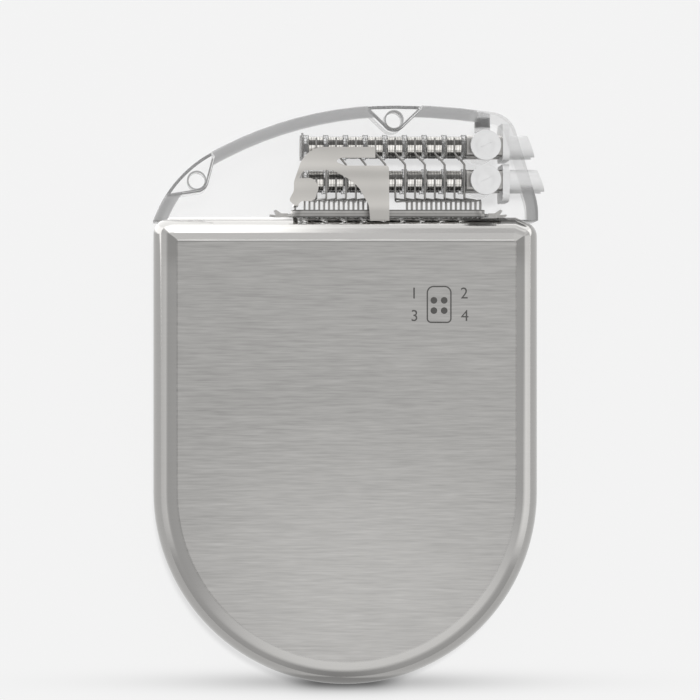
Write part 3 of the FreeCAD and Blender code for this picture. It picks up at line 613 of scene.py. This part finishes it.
# Points of an open outline whose corners, each (x, y, radius), are rounded
def roundedPath(corners, step=3.0):
    points = [Vector((x, y)) for x, y, radius in corners]
    path = [points[0]]
    for i in range(1, len(points) - 1):
        toLast = (points[i - 1] - points[i]).normalized()
        toNext = (points[i + 1] - points[i]).normalized()
        halfAngle = toLast.angle(toNext) / 2
        radius = corners[i][2]
        centre = points[i] + (toLast + toNext).normalized() * radius / math.sin(halfAngle)
        first = points[i] + toLast * radius / math.tan(halfAngle) - centre
        last = points[i] + toNext * radius / math.tan(halfAngle) - centre
        turn = first.angle_signed(last)
        count = max(2, round(abs(math.degrees(turn)) / step))
        for k in range(count + 1):
            angle = -turn * k / count
            path.append(centre + turnVector(first, angle))
    path.append(points[-1])
    return path


# Solid between loops of equally many points, closed by a cap at both ends
def loftMesh(name, loops):
    shape = bmesh.new()
    rings = [[shape.verts.new(point) for point in loop] for loop in loops]
    for near, far in zip(rings, rings[1:]):
        joinRings(shape, near, far)
    shape.faces.new(list(reversed(rings[0])))
    shape.faces.new(rings[-1])
    return closeMesh(name, shape)


# Body turned about X from a closed profile of (x, radius)
def turnedMesh(name, profile, segments=48):
    shape = bmesh.new()
    rings = []
    for k in range(segments):
        angle = 2 * math.pi * k / segments
        rings.append([shape.verts.new(place3(x, r * math.cos(angle), r * math.sin(angle))) for x, r in profile])
    for k in range(segments):
        joinRings(shape, rings[k], rings[(k + 1) % segments])
    mesh = closeMesh(name, shape)
    shadeSmooth(mesh, 40)
    return mesh


# Geometry Nodes trees

# Ends a tree: real meshes with the given material
def endTree(tree, geometry, start, end):
    real = addNode(tree, "GeometryNodeRealizeInstances")
    wire(tree, geometry, real.inputs[0])
    dress = addNode(tree, "GeometryNodeSetMaterial")
    wire(tree, real.outputs[0], dress.inputs["Geometry"])
    wire(tree, start.outputs["Material"], dress.inputs["Material"])
    wire(tree, dress.outputs[0], end.inputs[0])
    return tree


# Copies of a source along a line, each turned a little about its axis
def buildRowRepeat():
    tree, start, end = newGroup(
        "Geometry", "rowRepeat",
        [("Geometry", "Geometry", None), ("Source", "Object", None), ("Count", "Int", 8),
         ("Start", "Vector", (0, 0, 0)), ("Step", "Vector", (0, 0, 0)), ("Turn", "Float", 0.0),
         ("Seed", "Int", 4), ("Material", "Material", None)],
        [("Geometry", "Geometry")])
    line = addNode(tree, "GeometryNodeMeshLine", mode="OFFSET")
    feed(tree, start, line, Count="Count", Start_Location="Start", Offset="Step")
    source = addNode(tree, "GeometryNodeObjectInfo")
    wire(tree, start.outputs["Source"], source.inputs["Object"])
    turn = addNode(tree, "FunctionNodeRandomValue", data_type="FLOAT")
    wire(tree, times(tree, start.outputs["Turn"], -1.0), turn.inputs[2])
    wire(tree, start.outputs["Turn"], turn.inputs[3])
    wire(tree, start.outputs["Seed"], turn.inputs["Seed"])
    angles = addNode(tree, "ShaderNodeCombineXYZ")
    wire(tree, turn.outputs[1], angles.inputs["X"])
    spread = addNode(tree, "GeometryNodeInstanceOnPoints")
    wire(tree, line.outputs["Mesh"], spread.inputs["Points"])
    wire(tree, source.outputs["Geometry"], spread.inputs["Instance"])
    wire(tree, angles.outputs[0], spread.inputs["Rotation"])
    return endTree(tree, spread.outputs["Instances"], start, end)


# Round wires along the edges of a mesh, with rounded bends
def buildWireSweep():
    tree, start, end = newGroup(
        "Geometry", "wireSweep",
        [("Geometry", "Geometry", None), ("Radius", "Float", 0.1), ("Bend", "Float", 0.3), ("Sides", "Int", 12),
         ("Material", "Material", None)],
        [("Geometry", "Geometry")])
    curve = addNode(tree, "GeometryNodeMeshToCurve")
    wire(tree, start.outputs["Geometry"], curve.inputs["Mesh"])
    fillet = addNode(tree, "GeometryNodeFilletCurve", mode="POLY")
    fillet.inputs["Count"].default_value = 5
    fillet.inputs["Limit Radius"].default_value = True
    wire(tree, curve.outputs[0], fillet.inputs["Curve"])
    wire(tree, start.outputs["Bend"], fillet.inputs["Radius"])
    circle = addNode(tree, "GeometryNodeCurvePrimitiveCircle")
    feed(tree, start, circle, Resolution="Sides", Radius="Radius")
    sweep = addNode(tree, "GeometryNodeCurveToMesh")
    wire(tree, fillet.outputs["Curve"], sweep.inputs["Curve"])
    wire(tree, circle.outputs[0], sweep.inputs["Profile Curve"])
    sweep.inputs["Fill Caps"].default_value = True
    smooth = addNode(tree, "GeometryNodeSetShadeSmooth")
    wire(tree, sweep.outputs[0], smooth.inputs["Geometry"])
    return endTree(tree, smooth.outputs[0], start, end)


rowRepeat = buildRowRepeat()
wireSweep = buildWireSweep()


# Runs a tree on a piece with the given inputs, and keeps the result as a plain mesh
def runTree(piece, tree, **values):
    modifier = piece.modifiers.new(tree.name, "NODES")
    modifier.node_group = tree
    identifiers = {item.name: item.identifier for item in tree.interface.items_tree if item.in_out == "INPUT"}
    for label, value in values.items():
        modifier[identifiers[label]] = value
    piece.update_tag()
    return bakeModifiers(piece)


# A row of copies of one mesh
def repeatRow(name, mesh, material, count, first, step, turn=0.0, seed=4):
    source = newPiece(name + "Source", mesh)
    holder = newPiece(name, bpy.data.meshes.new(name))
    piece = runTree(holder, rowRepeat, Source=source, Count=count, Start=first, Step=step, Turn=turn, Seed=seed,
                    Material=material)
    bpy.data.objects.remove(source)
    return piece


# Mesh of open lines only
def polylineMesh(name, paths):
    points, edges = [], []
    for path in paths:
        edges += [(len(points) + i, len(points) + i + 1) for i in range(len(path) - 1)]
        points += [place3(*point) for point in path]
    mesh = bpy.data.meshes.new(name)
    mesh.from_pydata(points, edges, [])
    return mesh


def sweepPaths(name, paths, radius, bend, sides, material):
    return runTree(newPiece(name, polylineMesh(name, paths)), wireSweep, Radius=radius * mm, Bend=bend * mm,
                   Sides=sides, Material=material)


# Header casting

casting = dict(left=-24.8, right=24.8, foot=35.0, top=35.45, back=0.55, front=10.95, rim=1.95, backRim=0.95,
               corners=[(2.64, 5.93, 16.0), (19.4, 14.45, 49.0), (37.56, 14.45, 80.0), (46.08, 13.13, 3.6),
                        (49.6, 1.55, 8.0)],
               web=4.0, hole=1.04, roll=0.24, lobe=0.32, draft=0.12, bead=0.2, past=0.15, open=2.0,
               # Each window: centre of its hole, and where its two walls end
               windows=(((-19.16, 40.25), ((-3.85, -1.95), (2.15, 2.78))),
                        ((6.33, 48.09), ((-3.3, 1.3), (3.3, 1.3)))))


# Outline of the header at one height and distance inside its side
def castingLoop(path, inset, z):
    loop = []
    for i, point in enumerate(path):
        before = path[max(i - 1, 0)]
        after = path[min(i + 1, len(path) - 1)]
        along = (after - before).normalized()
        if i == 0 or i == len(path) - 1:
            along = Vector((0, 1 if i == 0 else -1))
        loop.append(place3(point.x + along.y * inset, point.y - along.x * inset, z))
    return loop


def castingOutline():
    left, top = casting["left"], casting["top"]
    corners = [(left, casting["foot"], 0)]
    corners += [(left + x, top + y, radius) for x, y, radius in casting["corners"]]
    corners.append((casting["right"], casting["foot"], 0))
    return roundedPath(corners)


def castingBody():
    path = castingOutline()
    rim = casting["rim"]
    turns = [math.radians(a) for a in range(0, 91, 9)]
    low = casting["backRim"]
    sections = [(low * (1 - math.cos(a)), casting["back"] + low * (1 - math.sin(a))) for a in reversed(turns)]
    sections += [(rim * (1 - math.cos(a)), casting["front"] - rim * (1 - math.sin(a))) for a in turns]
    return loftMesh("headerCasting", [castingLoop(path, inset, z) for inset, z in sections])


# Outline of a suture notch: two straight walls that run into a lobe round the hole
def notchLoop(hole, tips, grow, z):
    centre = Vector(hole)
    first, second = (centre + Vector(tip) for tip in tips)
    opening = (second - first).normalized()
    first -= opening * grow * casting["open"]
    second += opening * grow * casting["open"]
    radius = casting["hole"] + casting["lobe"] + grow
    touches = []
    for tip, side in ((first, 1), (second, -1)):
        towards = (tip - centre).normalized()
        angle = side * math.acos(radius / (tip - centre).length)
        touches.append(turnVector(towards, angle) * radius)
    turn = (-touches[0].angle_signed(touches[1])) % (2 * math.pi)
    count = 24
    lobe = [centre + turnVector(touches[0], turn * k / count) for k in range(count + 1)]
    away = Vector((-opening.y, opening.x))
    if away.dot((first + second) / 2 - centre) < 0:
        away = -away
    firstOut = first + (first - lobe[0]).normalized() * 2 + away * 5
    secondOut = second + (second - lobe[-1]).normalized() * 2 + away * 5
    return [place3(p.x, p.y, z) for p in [firstOut, first] + lobe + [second, secondOut]]


def cutFrom(piece, cutters):
    for cutter in cutters:
        modifier = piece.modifiers.new("cut", "BOOLEAN")
        modifier.operation = "DIFFERENCE"
        modifier.solver = "EXACT"
        modifier.object = cutter
    bakeModifiers(piece)
    for cutter in cutters:
        bpy.data.objects.remove(cutter)


# Through hole whose edges are rolled at both faces of the web
def holeLoops(hole, centre):
    roll = casting["roll"]
    turns = [math.radians(a) for a in range(0, 91, 15)]
    upper = [(casting["web"] / 2 - roll + roll * math.sin(a), casting["hole"] + roll * (1 - math.cos(a)))
             for a in turns]
    heights = [(-centre - 1, upper[-1][1])] + [(-z, r) for z, r in reversed(upper)] + upper
    heights.append((centre + 2, upper[-1][1]))
    circle = [2 * math.pi * k / 64 for k in range(64)]
    return [[place3(hole[0] + r * math.cos(a), hole[1] + r * math.sin(a), centre + z) for a in circle]
            for z, r in heights]


# Points no more than a step apart along a path
def finePath(points, step=0.3):
    fine = []
    for near, far in zip(points, points[1:]):
        count = max(1, math.ceil((far - near).length / step))
        fine += [near.lerp(far, k / count) for k in range(count)]
    return fine + [points[-1]]


# Thin grey tubes round the two windows, painted shade lines at the casting's edges: along the outline, and along
# the walls
def windowBeads():
    radius = casting["bead"]
    outline = finePath(castingOutline())
    paths = []
    level = (casting["back"] + casting["front"]) / 2 + casting["web"] / 2
    for hole, tips in casting["windows"]:
        ends = []
        for tip in tips:
            target = Vector(hole) + Vector(tip)
            ends.append(min(range(len(outline)), key=lambda i: (outline[i] - target).length))
        rim = []
        for i in range(min(ends), max(ends) + 1):
            along = (outline[min(i + 1, len(outline) - 1)] - outline[i - 1]).normalized()
            rim.append((outline[i].x + along.y * radius, outline[i].y - along.x * radius, level - radius))
        paths.append(rim)
        wall = notchLoop(hole, tips, 0, level)[1:-1]
        paths.append([tuple(point / mm) for point in wall])
    piece = sweepPaths("windowBeads", paths, radius, 0.05, 10, shadeLineResin)
    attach(piece, "root")


def headerCasting():
    piece = newPiece("headerCasting", castingBody())
    centre = (casting["back"] + casting["front"]) / 2
    cutters = []
    for hole, tips in casting["windows"]:
        for side, outer in ((1, casting["front"] + casting["past"]), (-1, casting["back"] - casting["past"])):
            loops = [notchLoop(hole, tips, 0, centre + side * casting["web"] / 2),
                     notchLoop(hole, tips, casting["draft"], outer)]
            cutters.append(newPiece("notchCutter", loftMesh("notchCutter", loops)))
        cutters.append(newPiece("holeCutter", loftMesh("holeCutter", holeLoops(hole, centre))))
    cutFrom(piece, cutters)
    piece.data.materials.clear()
    piece.data.materials.append(materials["header_epoxy"])
    shadeSmooth(piece.data, 25)
    weighted = piece.modifiers.new("weighted", "WEIGHTED_NORMAL")
    weighted.keep_sharp = True
    bakeModifiers(piece)
    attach(piece, "root")
    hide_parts("header_block")


headerCasting()
windowBeads()
print("header cast")


# Connector rows: contacts, clear seals between them, and the wires down to the pins

contactPart = dict(pitch=2.54, length=1.88, radius=1.3, bore=0.7, groove=0.05, chamfer=0.06,
                   grooveEnds=(0.5, 0.52, 0.6, 0.62))
sealPart = dict(length=0.66, radius=1.525, bore=0.7, lip=0.07, waist=0.12, halfWaist=0.1)
wirePart = dict(radius=0.125, bend=0.35, cross=1.27, lowerRise=0.3, upperRise=1.05, upperBend=0.95,
                upperStep=2.45, leftJog=-1.38, rightJog=1.76, pinPitch=0.635, pinHeight=37.765,
                pinDepth=5.75, far=1.7,
                # The rear wires lie a little off the front ones, more so away from this centre
                rearShift=0.0165, rearCentre=(-24.0, 12.6))


def contactProfile():
    half, r = contactPart["length"] / 2, contactPart["radius"]
    c, g = contactPart["chamfer"], contactPart["groove"]
    bore = contactPart["bore"]
    near, nearFloor, farFloor, far = contactPart["grooveEnds"]
    outer = [(-half, r - c), (-half + c, r), (-far, r), (-farFloor, r - g), (-nearFloor, r - g), (-near, r),
             (near, r), (nearFloor, r - g), (farFloor, r - g), (far, r), (half - c, r), (half, r - c)]
    return outer + [(half, bore + c), (half - c, bore), (-half + c, bore), (-half, bore + c)]


def sealProfile():
    half, r = sealPart["length"] / 2, sealPart["radius"]
    c = sealPart["lip"]
    bore, inner = sealPart["bore"], sealPart["halfWaist"]
    waist = r - sealPart["waist"] / 2
    return [(-half, r - c), (-half + c, r), (-inner, waist), (inner, waist), (half - c, r), (half, r - c),
            (half, bore), (inner, bore), (-inner, bore), (-half, bore)]


# Bends of the wire from one contact at x down to its pin
def wirePath(x, index, row, upper, front):
    y, z = row.y, row.z
    out = 1 if front else -1
    near = z + out * (contactPart["radius"] + wirePart["radius"])
    far = z + out * wirePart["far"]
    base = wirePart["pinHeight"]
    jog = wirePart["leftJog"] if index < 4 else wirePart["rightJog"]
    pin = (x + jog + (2 * int(upper) + int(not front)) * wirePart["pinPitch"], base, wirePart["pinDepth"])
    if not front:
        x += wirePart["rearShift"] * (x - wirePart["rearCentre"][0])
        y += wirePart["rearShift"] * (y - wirePart["rearCentre"][1])
    if not upper:
        return [(x, y + wirePart["lowerRise"], near), (x, base, near), pin]
    return [(x, y + wirePart["upperRise"], near), (x, y - wirePart["upperBend"], near),
            (x + wirePart["cross"], y - wirePart["upperStep"], far), (x + wirePart["cross"], base, far), pin]


def connectorRows():
    contact = turnedMesh("contactRing", contactProfile())
    seal = turnedMesh("sealRing", sealProfile())
    for level in ("upper", "lower"):
        for depth in ("front", "rear"):
            key = level + "_" + depth
            low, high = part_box("contact_rings_" + key)
            axis = (low + high) / 2 / mm
            firstX = low.x / mm + contactPart["length"] / 2
            step = Vector((contactPart["pitch"] * mm, 0, 0))
            title = level.capitalize() + depth.capitalize()
            rings = repeatRow("contacts" + title, contact, materials["contact_alloy"], 8,
                              place3(firstX, axis.y, axis.z), step)
            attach(rings, "root")
            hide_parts("contact_rings_" + key)
            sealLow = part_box("seal_rings_" + key)[0]
            seals = repeatRow("seals" + title, seal, materials["silicone_clear"], 9,
                              place3(sealLow.x / mm + sealPart["length"] / 2, axis.y, axis.z), step, 3.0, 7)
            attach(seals, "root")
            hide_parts("seal_rings_" + key)
            paths = [wirePath(firstX + i * contactPart["pitch"], i, axis, level == "upper", depth == "front")
                     for i in range(8)]
            wires = sweepPaths("wires" + title, paths, wirePart["radius"], wirePart["bend"], 12,
                               materials["feed_wire"])
            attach(wires, "root")
            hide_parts("feed_wires_" + key)


connectorRows()
print("connector rows made")


# Port key on the face: an outline with four dots, and plain numbers beside it

keyMark = dict(left=10.25, right=13.45, low=21.74, high=26.52, topCorner=0.9, lowCorner=0.58, line=0.18,
               dot=0.43, dots=((11.18, 24.65), (12.50, 24.65), (11.18, 23.34), (12.50, 23.34)), depth=0.004,
               numbers=(("1", 8.64, 25.5), ("2", 15.07, 25.5), ("3", 8.70, 22.62), ("4", 15.15, 22.62)),
               size=2.05)


# Flat outline laid on the face as a thin print
def flatPrint(name, loops):
    shape = bmesh.new()
    base = faceHeight / mm
    for outer, inner in loops:
        z0, z1 = base - keyMark["depth"], base + keyMark["depth"] / 4
        rings = []
        for loop, z in ((outer, z0), (outer, z1), (inner, z1), (inner, z0)):
            if loop is not None:
                rings.append([shape.verts.new(place3(x, y, z)) for x, y in loop])
        if inner is None:
            joinRings(shape, rings[0], rings[1])
            shape.faces.new(list(reversed(rings[0])))
            shape.faces.new(rings[1])
        else:
            for k in range(4):
                joinRings(shape, rings[k], rings[(k + 1) % 4])
    return closeMesh(name, shape)


def roundedBox(left, right, low, high, topCorner, lowCorner, inset):
    points = []
    for cx, cy, radius, start in ((right - topCorner, high - topCorner, topCorner, 0),
                                  (left + topCorner, high - topCorner, topCorner, 90),
                                  (left + lowCorner, low + lowCorner, lowCorner, 180),
                                  (right - lowCorner, low + lowCorner, lowCorner, 270)):
        for k in range(9):
            angle = math.radians(start + 90 * k / 8)
            points.append((cx + (radius - inset) * math.cos(angle), cy + (radius - inset) * math.sin(angle)))
    return points


def portKey():
    box = [keyMark[label] for label in ("left", "right", "low", "high", "topCorner", "lowCorner")]
    loops = [(roundedBox(*box, 0), roundedBox(*box, keyMark["line"]))]
    circle = [2 * math.pi * k / 32 for k in range(32)]
    r = keyMark["dot"]
    for x, y in keyMark["dots"]:
        loops.append(([(x + r * math.cos(a), y + r * math.sin(a)) for a in circle], None))
    piece = newPiece("portKey", flatPrint("portKey", loops))
    piece.data.materials.append(printInk)
    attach(piece, "root")
    for number, x, y in keyMark["numbers"]:
        curve = bpy.data.curves.new("portNumber" + number, "FONT")
        curve.body = number
        curve.size = keyMark["size"] * mm
        curve.align_x = "CENTER"
        curve.align_y = "CENTER"
        curve.extrude = keyMark["depth"] / 2 * mm
        letter = newPiece("portNumber" + number, curve)
        mesh = plainMesh(letter)
        bpy.data.objects.remove(letter)
        shape = bmesh.new()
        shape.from_mesh(mesh)
        bmesh.ops.remove_doubles(shape, verts=shape.verts, dist=1e-7)
        bmesh.ops.translate(shape, verts=shape.verts, vec=place3(x, y, faceHeight / mm - keyMark["depth"] / 4))
        bmesh.ops.recalc_face_normals(shape, faces=shape.faces)
        shape.to_mesh(mesh)
        shape.free()
        mesh.materials.clear()
        mesh.materials.append(printInk)
        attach(newPiece("portNumber" + number, mesh), "root")


portKey()
print("port key printed")


# Studio: floor, light and camera

studio = dict(background=linear(242), floorShadow=0.3, lift=1.03, sunTilt=9.0, sunAngle=5.0, sunStrength=0.6,
              sky=0.35, glowNorth=2.3, glowSouth=-0.62,
              # Where the floor that the polished edge mirrors changes, in millimetres
              side=(7.0, 13.0), top=(34.5, 37.0), left=(-9.0, -5.0), north=(46.0, 52.0), south=(22.0, 30.0))
contact = dict(x=0.35, y=-25.15, wide=18.0, fall=1.24, wideDepth=0.58, coreDepth=0.3, coreNear=3.0, coreFar=9.0)


# Painted soft shadow under the round end: darkest where it meets the floor, wide and thin
def contactShade(tree, place):
    parts = splitXyz(tree, place)
    across = awayFrom(tree, parts["X"], contact["x"] * mm)
    along = calc(tree, "DIVIDE", calc(tree, "SUBTRACT", parts["Y"], contact["y"] * mm), contact["fall"] * mm)
    thin = calc(tree, "EXPONENT", times(tree, times(tree, along, along), -1.0))
    far = calc(tree, "POWER", calc(tree, "DIVIDE", across, contact["wide"] * mm), 1.5)
    wide = times(tree, calc(tree, "EXPONENT", times(tree, far, -1.0)), contact["wideDepth"])
    core = invert(tree, smoothMask(tree, across, contact["coreNear"] * mm, contact["coreFar"] * mm))
    return times(tree, thin, scaleAdd(tree, core, contact["coreDepth"], wide))


# Pale floor, partly lit and mostly glowing, and brighter or darker where only reflections see it
def makeFloor():
    mesh = bpy.data.meshes.new("studioFloor")
    shape = bmesh.new()
    bmesh.ops.create_grid(shape, x_segments=1, y_segments=1, size=2.0)
    shape.to_mesh(mesh)
    shape.free()
    floor = newPiece("studioFloor", mesh)
    material, tree, surface = newMaterial("paleFloor")
    place = objectPlace(tree)
    parts = splitXyz(tree, place)
    share = studio["floorShadow"]
    level = studio["background"] * studio["lift"]
    side = lengthMask(tree, calc(tree, "ABSOLUTE", parts["X"]), studio["side"])
    middle = invert(tree, side)
    # Painted shadow on the floor, kept out of reflections beyond the middle
    shade = times(tree, contactShade(tree, place), invert(tree, times(tree, side, rayIs(tree, "Glossy"))))
    clearShare = invert(tree, shade)
    setColour(tree, surface, grey(level * share), clearShare)
    setValues(surface, Roughness=1.0, Specular_IOR_Level=0.0)
    near = times(tree, lengthMask(tree, parts["Y"], studio["top"]),
                 invert(tree, lengthMask(tree, parts["X"], studio["left"])))
    north = calc(tree, "MAXIMUM", near, lengthMask(tree, parts["Y"], studio["north"]))
    north = times(tree, north, studio["glowNorth"])
    south = times(tree, lengthMask(tree, times(tree, parts["Y"], -1), studio["south"]),
                  times(tree, middle, studio["glowSouth"]))
    glow = scaleAdd(tree, calc(tree, "ADD", north, south), rayIs(tree, "Glossy"), 1.0)
    glow = times(tree, glow, clearShare)
    wire(tree, mixColour(tree, 1.0, grey(level * (1 - share)), glow, "MULTIPLY"), surface.inputs["Emission Color"])
    setValues(surface, Emission_Strength=1.0)
    mesh.materials.append(material)


# Directions by their share of X, Y and Z, and the change in brightness there
sky = dict(tilt=0.3, south=(0.05, 0.3), high=(0.42, 0.58), zenith=(0.9, 0.98), cleared=(0.032, 0.045),
           north=(0.74, 0.84), rise=(-0.2, 0.05), flat=(0.22, 0.4), bright=2.6, pale=0.6, haze=(0.66, 0.16),
           hazeChange=0.3, highReach=(0.2, 1.02), highGain=0.5, highBase=-0.38, low=-0.34, flank=(0.9, 0.99),
           right=0.72, left=0.4, middle=(0.0, 0.4), middleChange=-0.2, least=0.05)


# White world, plain for the floor and uneven for what the metal mirrors
def makeWorld():
    world = bpy.data.worlds.new("studioWorld")
    world.use_nodes = True
    bpy.context.scene.world = world
    tree = world.node_tree
    background = tree.nodes["Background"]
    dx, dy, dz = splitXyz(tree, addNode(tree, "ShaderNodeTexCoord").outputs["Generated"])
    reach = calc(tree, "SQRT", scaleAdd(tree, dx, dx, times(tree, dy, dy)))
    reach = calc(tree, "MAXIMUM", reach, 0.001)
    side = calc(tree, "DIVIDE", dx, reach)
    southward = calc(tree, "SUBTRACT", times(tree, side, sky["tilt"]), calc(tree, "DIVIDE", dy, reach))
    south = invert(tree, smoothMask(tree, dy, *sky["south"]))
    high = smoothMask(tree, dz, *sky["high"])
    low = times(tree, south, invert(tree, high))
    high = times(tree, times(tree, south, high), invert(tree, smoothMask(tree, dz, *sky["zenith"])))
    cleared = invert(tree, smoothMask(tree, dx, *sky["cleared"]))
    north = times(tree, smoothMask(tree, dy, *sky["north"]), smoothMask(tree, dz, *sky["rise"]))
    flat = invert(tree, smoothMask(tree, dz, *sky["flat"]))
    slope = scaleAdd(tree, smoothMask(tree, southward, *sky["highReach"]), sky["highGain"], sky["highBase"])
    mirrorSide = times(tree, side, -1)
    lobes = [
        # (mask of the direction, change in brightness)
        (times(tree, north, cleared), sky["bright"]),
        (times(tree, times(tree, north, invert(tree, cleared)), flat), sky["pale"]),
        (bandMask(tree, dy, *sky["haze"]), sky["hazeChange"]),
        (times(tree, high, slope), 1.0),
        (low, sky["low"]),
        (times(tree, low, smoothMask(tree, side, *sky["flank"])), sky["right"]),
        (times(tree, low, smoothMask(tree, mirrorSide, *sky["flank"])), sky["left"]),
        (times(tree, low, bandMask(tree, side, *sky["middle"])), sky["middleChange"]),
    ]
    total = 1.0
    for mask, change in lobes:
        total = scaleAdd(tree, mask, change, total)
    total = calc(tree, "MAXIMUM", total, sky["least"])
    sharp = calc(tree, "MAXIMUM", rayIs(tree, "Glossy"), rayIs(tree, "Transmission"))
    level = calc(tree, "ADD", times(tree, sharp, total), times(tree, invert(tree, sharp), studio["sky"]))
    wire(tree, level, background.inputs["Strength"])
    background.inputs["Color"].default_value = (1, 1, 1, 1)


def makeSun():
    light = bpy.data.lights.new("keySun", "SUN")
    light.energy = math.pi * studio["sunStrength"]
    light.angle = math.radians(studio["sunAngle"])
    sun = newPiece("keySun", light)
    sun.rotation_euler = (math.radians(-studio["sunTilt"]), 0, 0)
    sun.visible_glossy = False


view = dict(distance=450.0, plane=9.25, width=90.1, centreX=0.56, centreY=18.32, footX=-24.0, footY=12.6)


def makeCamera():
    data = bpy.data.cameras.new("viewCamera")
    data.sensor_width = 36.0
    data.lens = data.sensor_width * view["distance"] / view["width"]
    data.shift_x = (view["centreX"] - view["footX"]) / view["width"]
    data.shift_y = (view["centreY"] - view["footY"]) / view["width"]
    data.clip_start = 0.01
    data.clip_end = 10
    camera = newPiece("viewCamera", data)
    camera.location = (view["footX"] * mm, view["footY"] * mm, (view["distance"] + view["plane"]) * mm)
    bpy.context.scene.camera = camera


makeFloor()
makeWorld()
makeSun()
makeCamera()
bpy.context.scene.view_settings.view_transform = "Standard"
print("studio made")
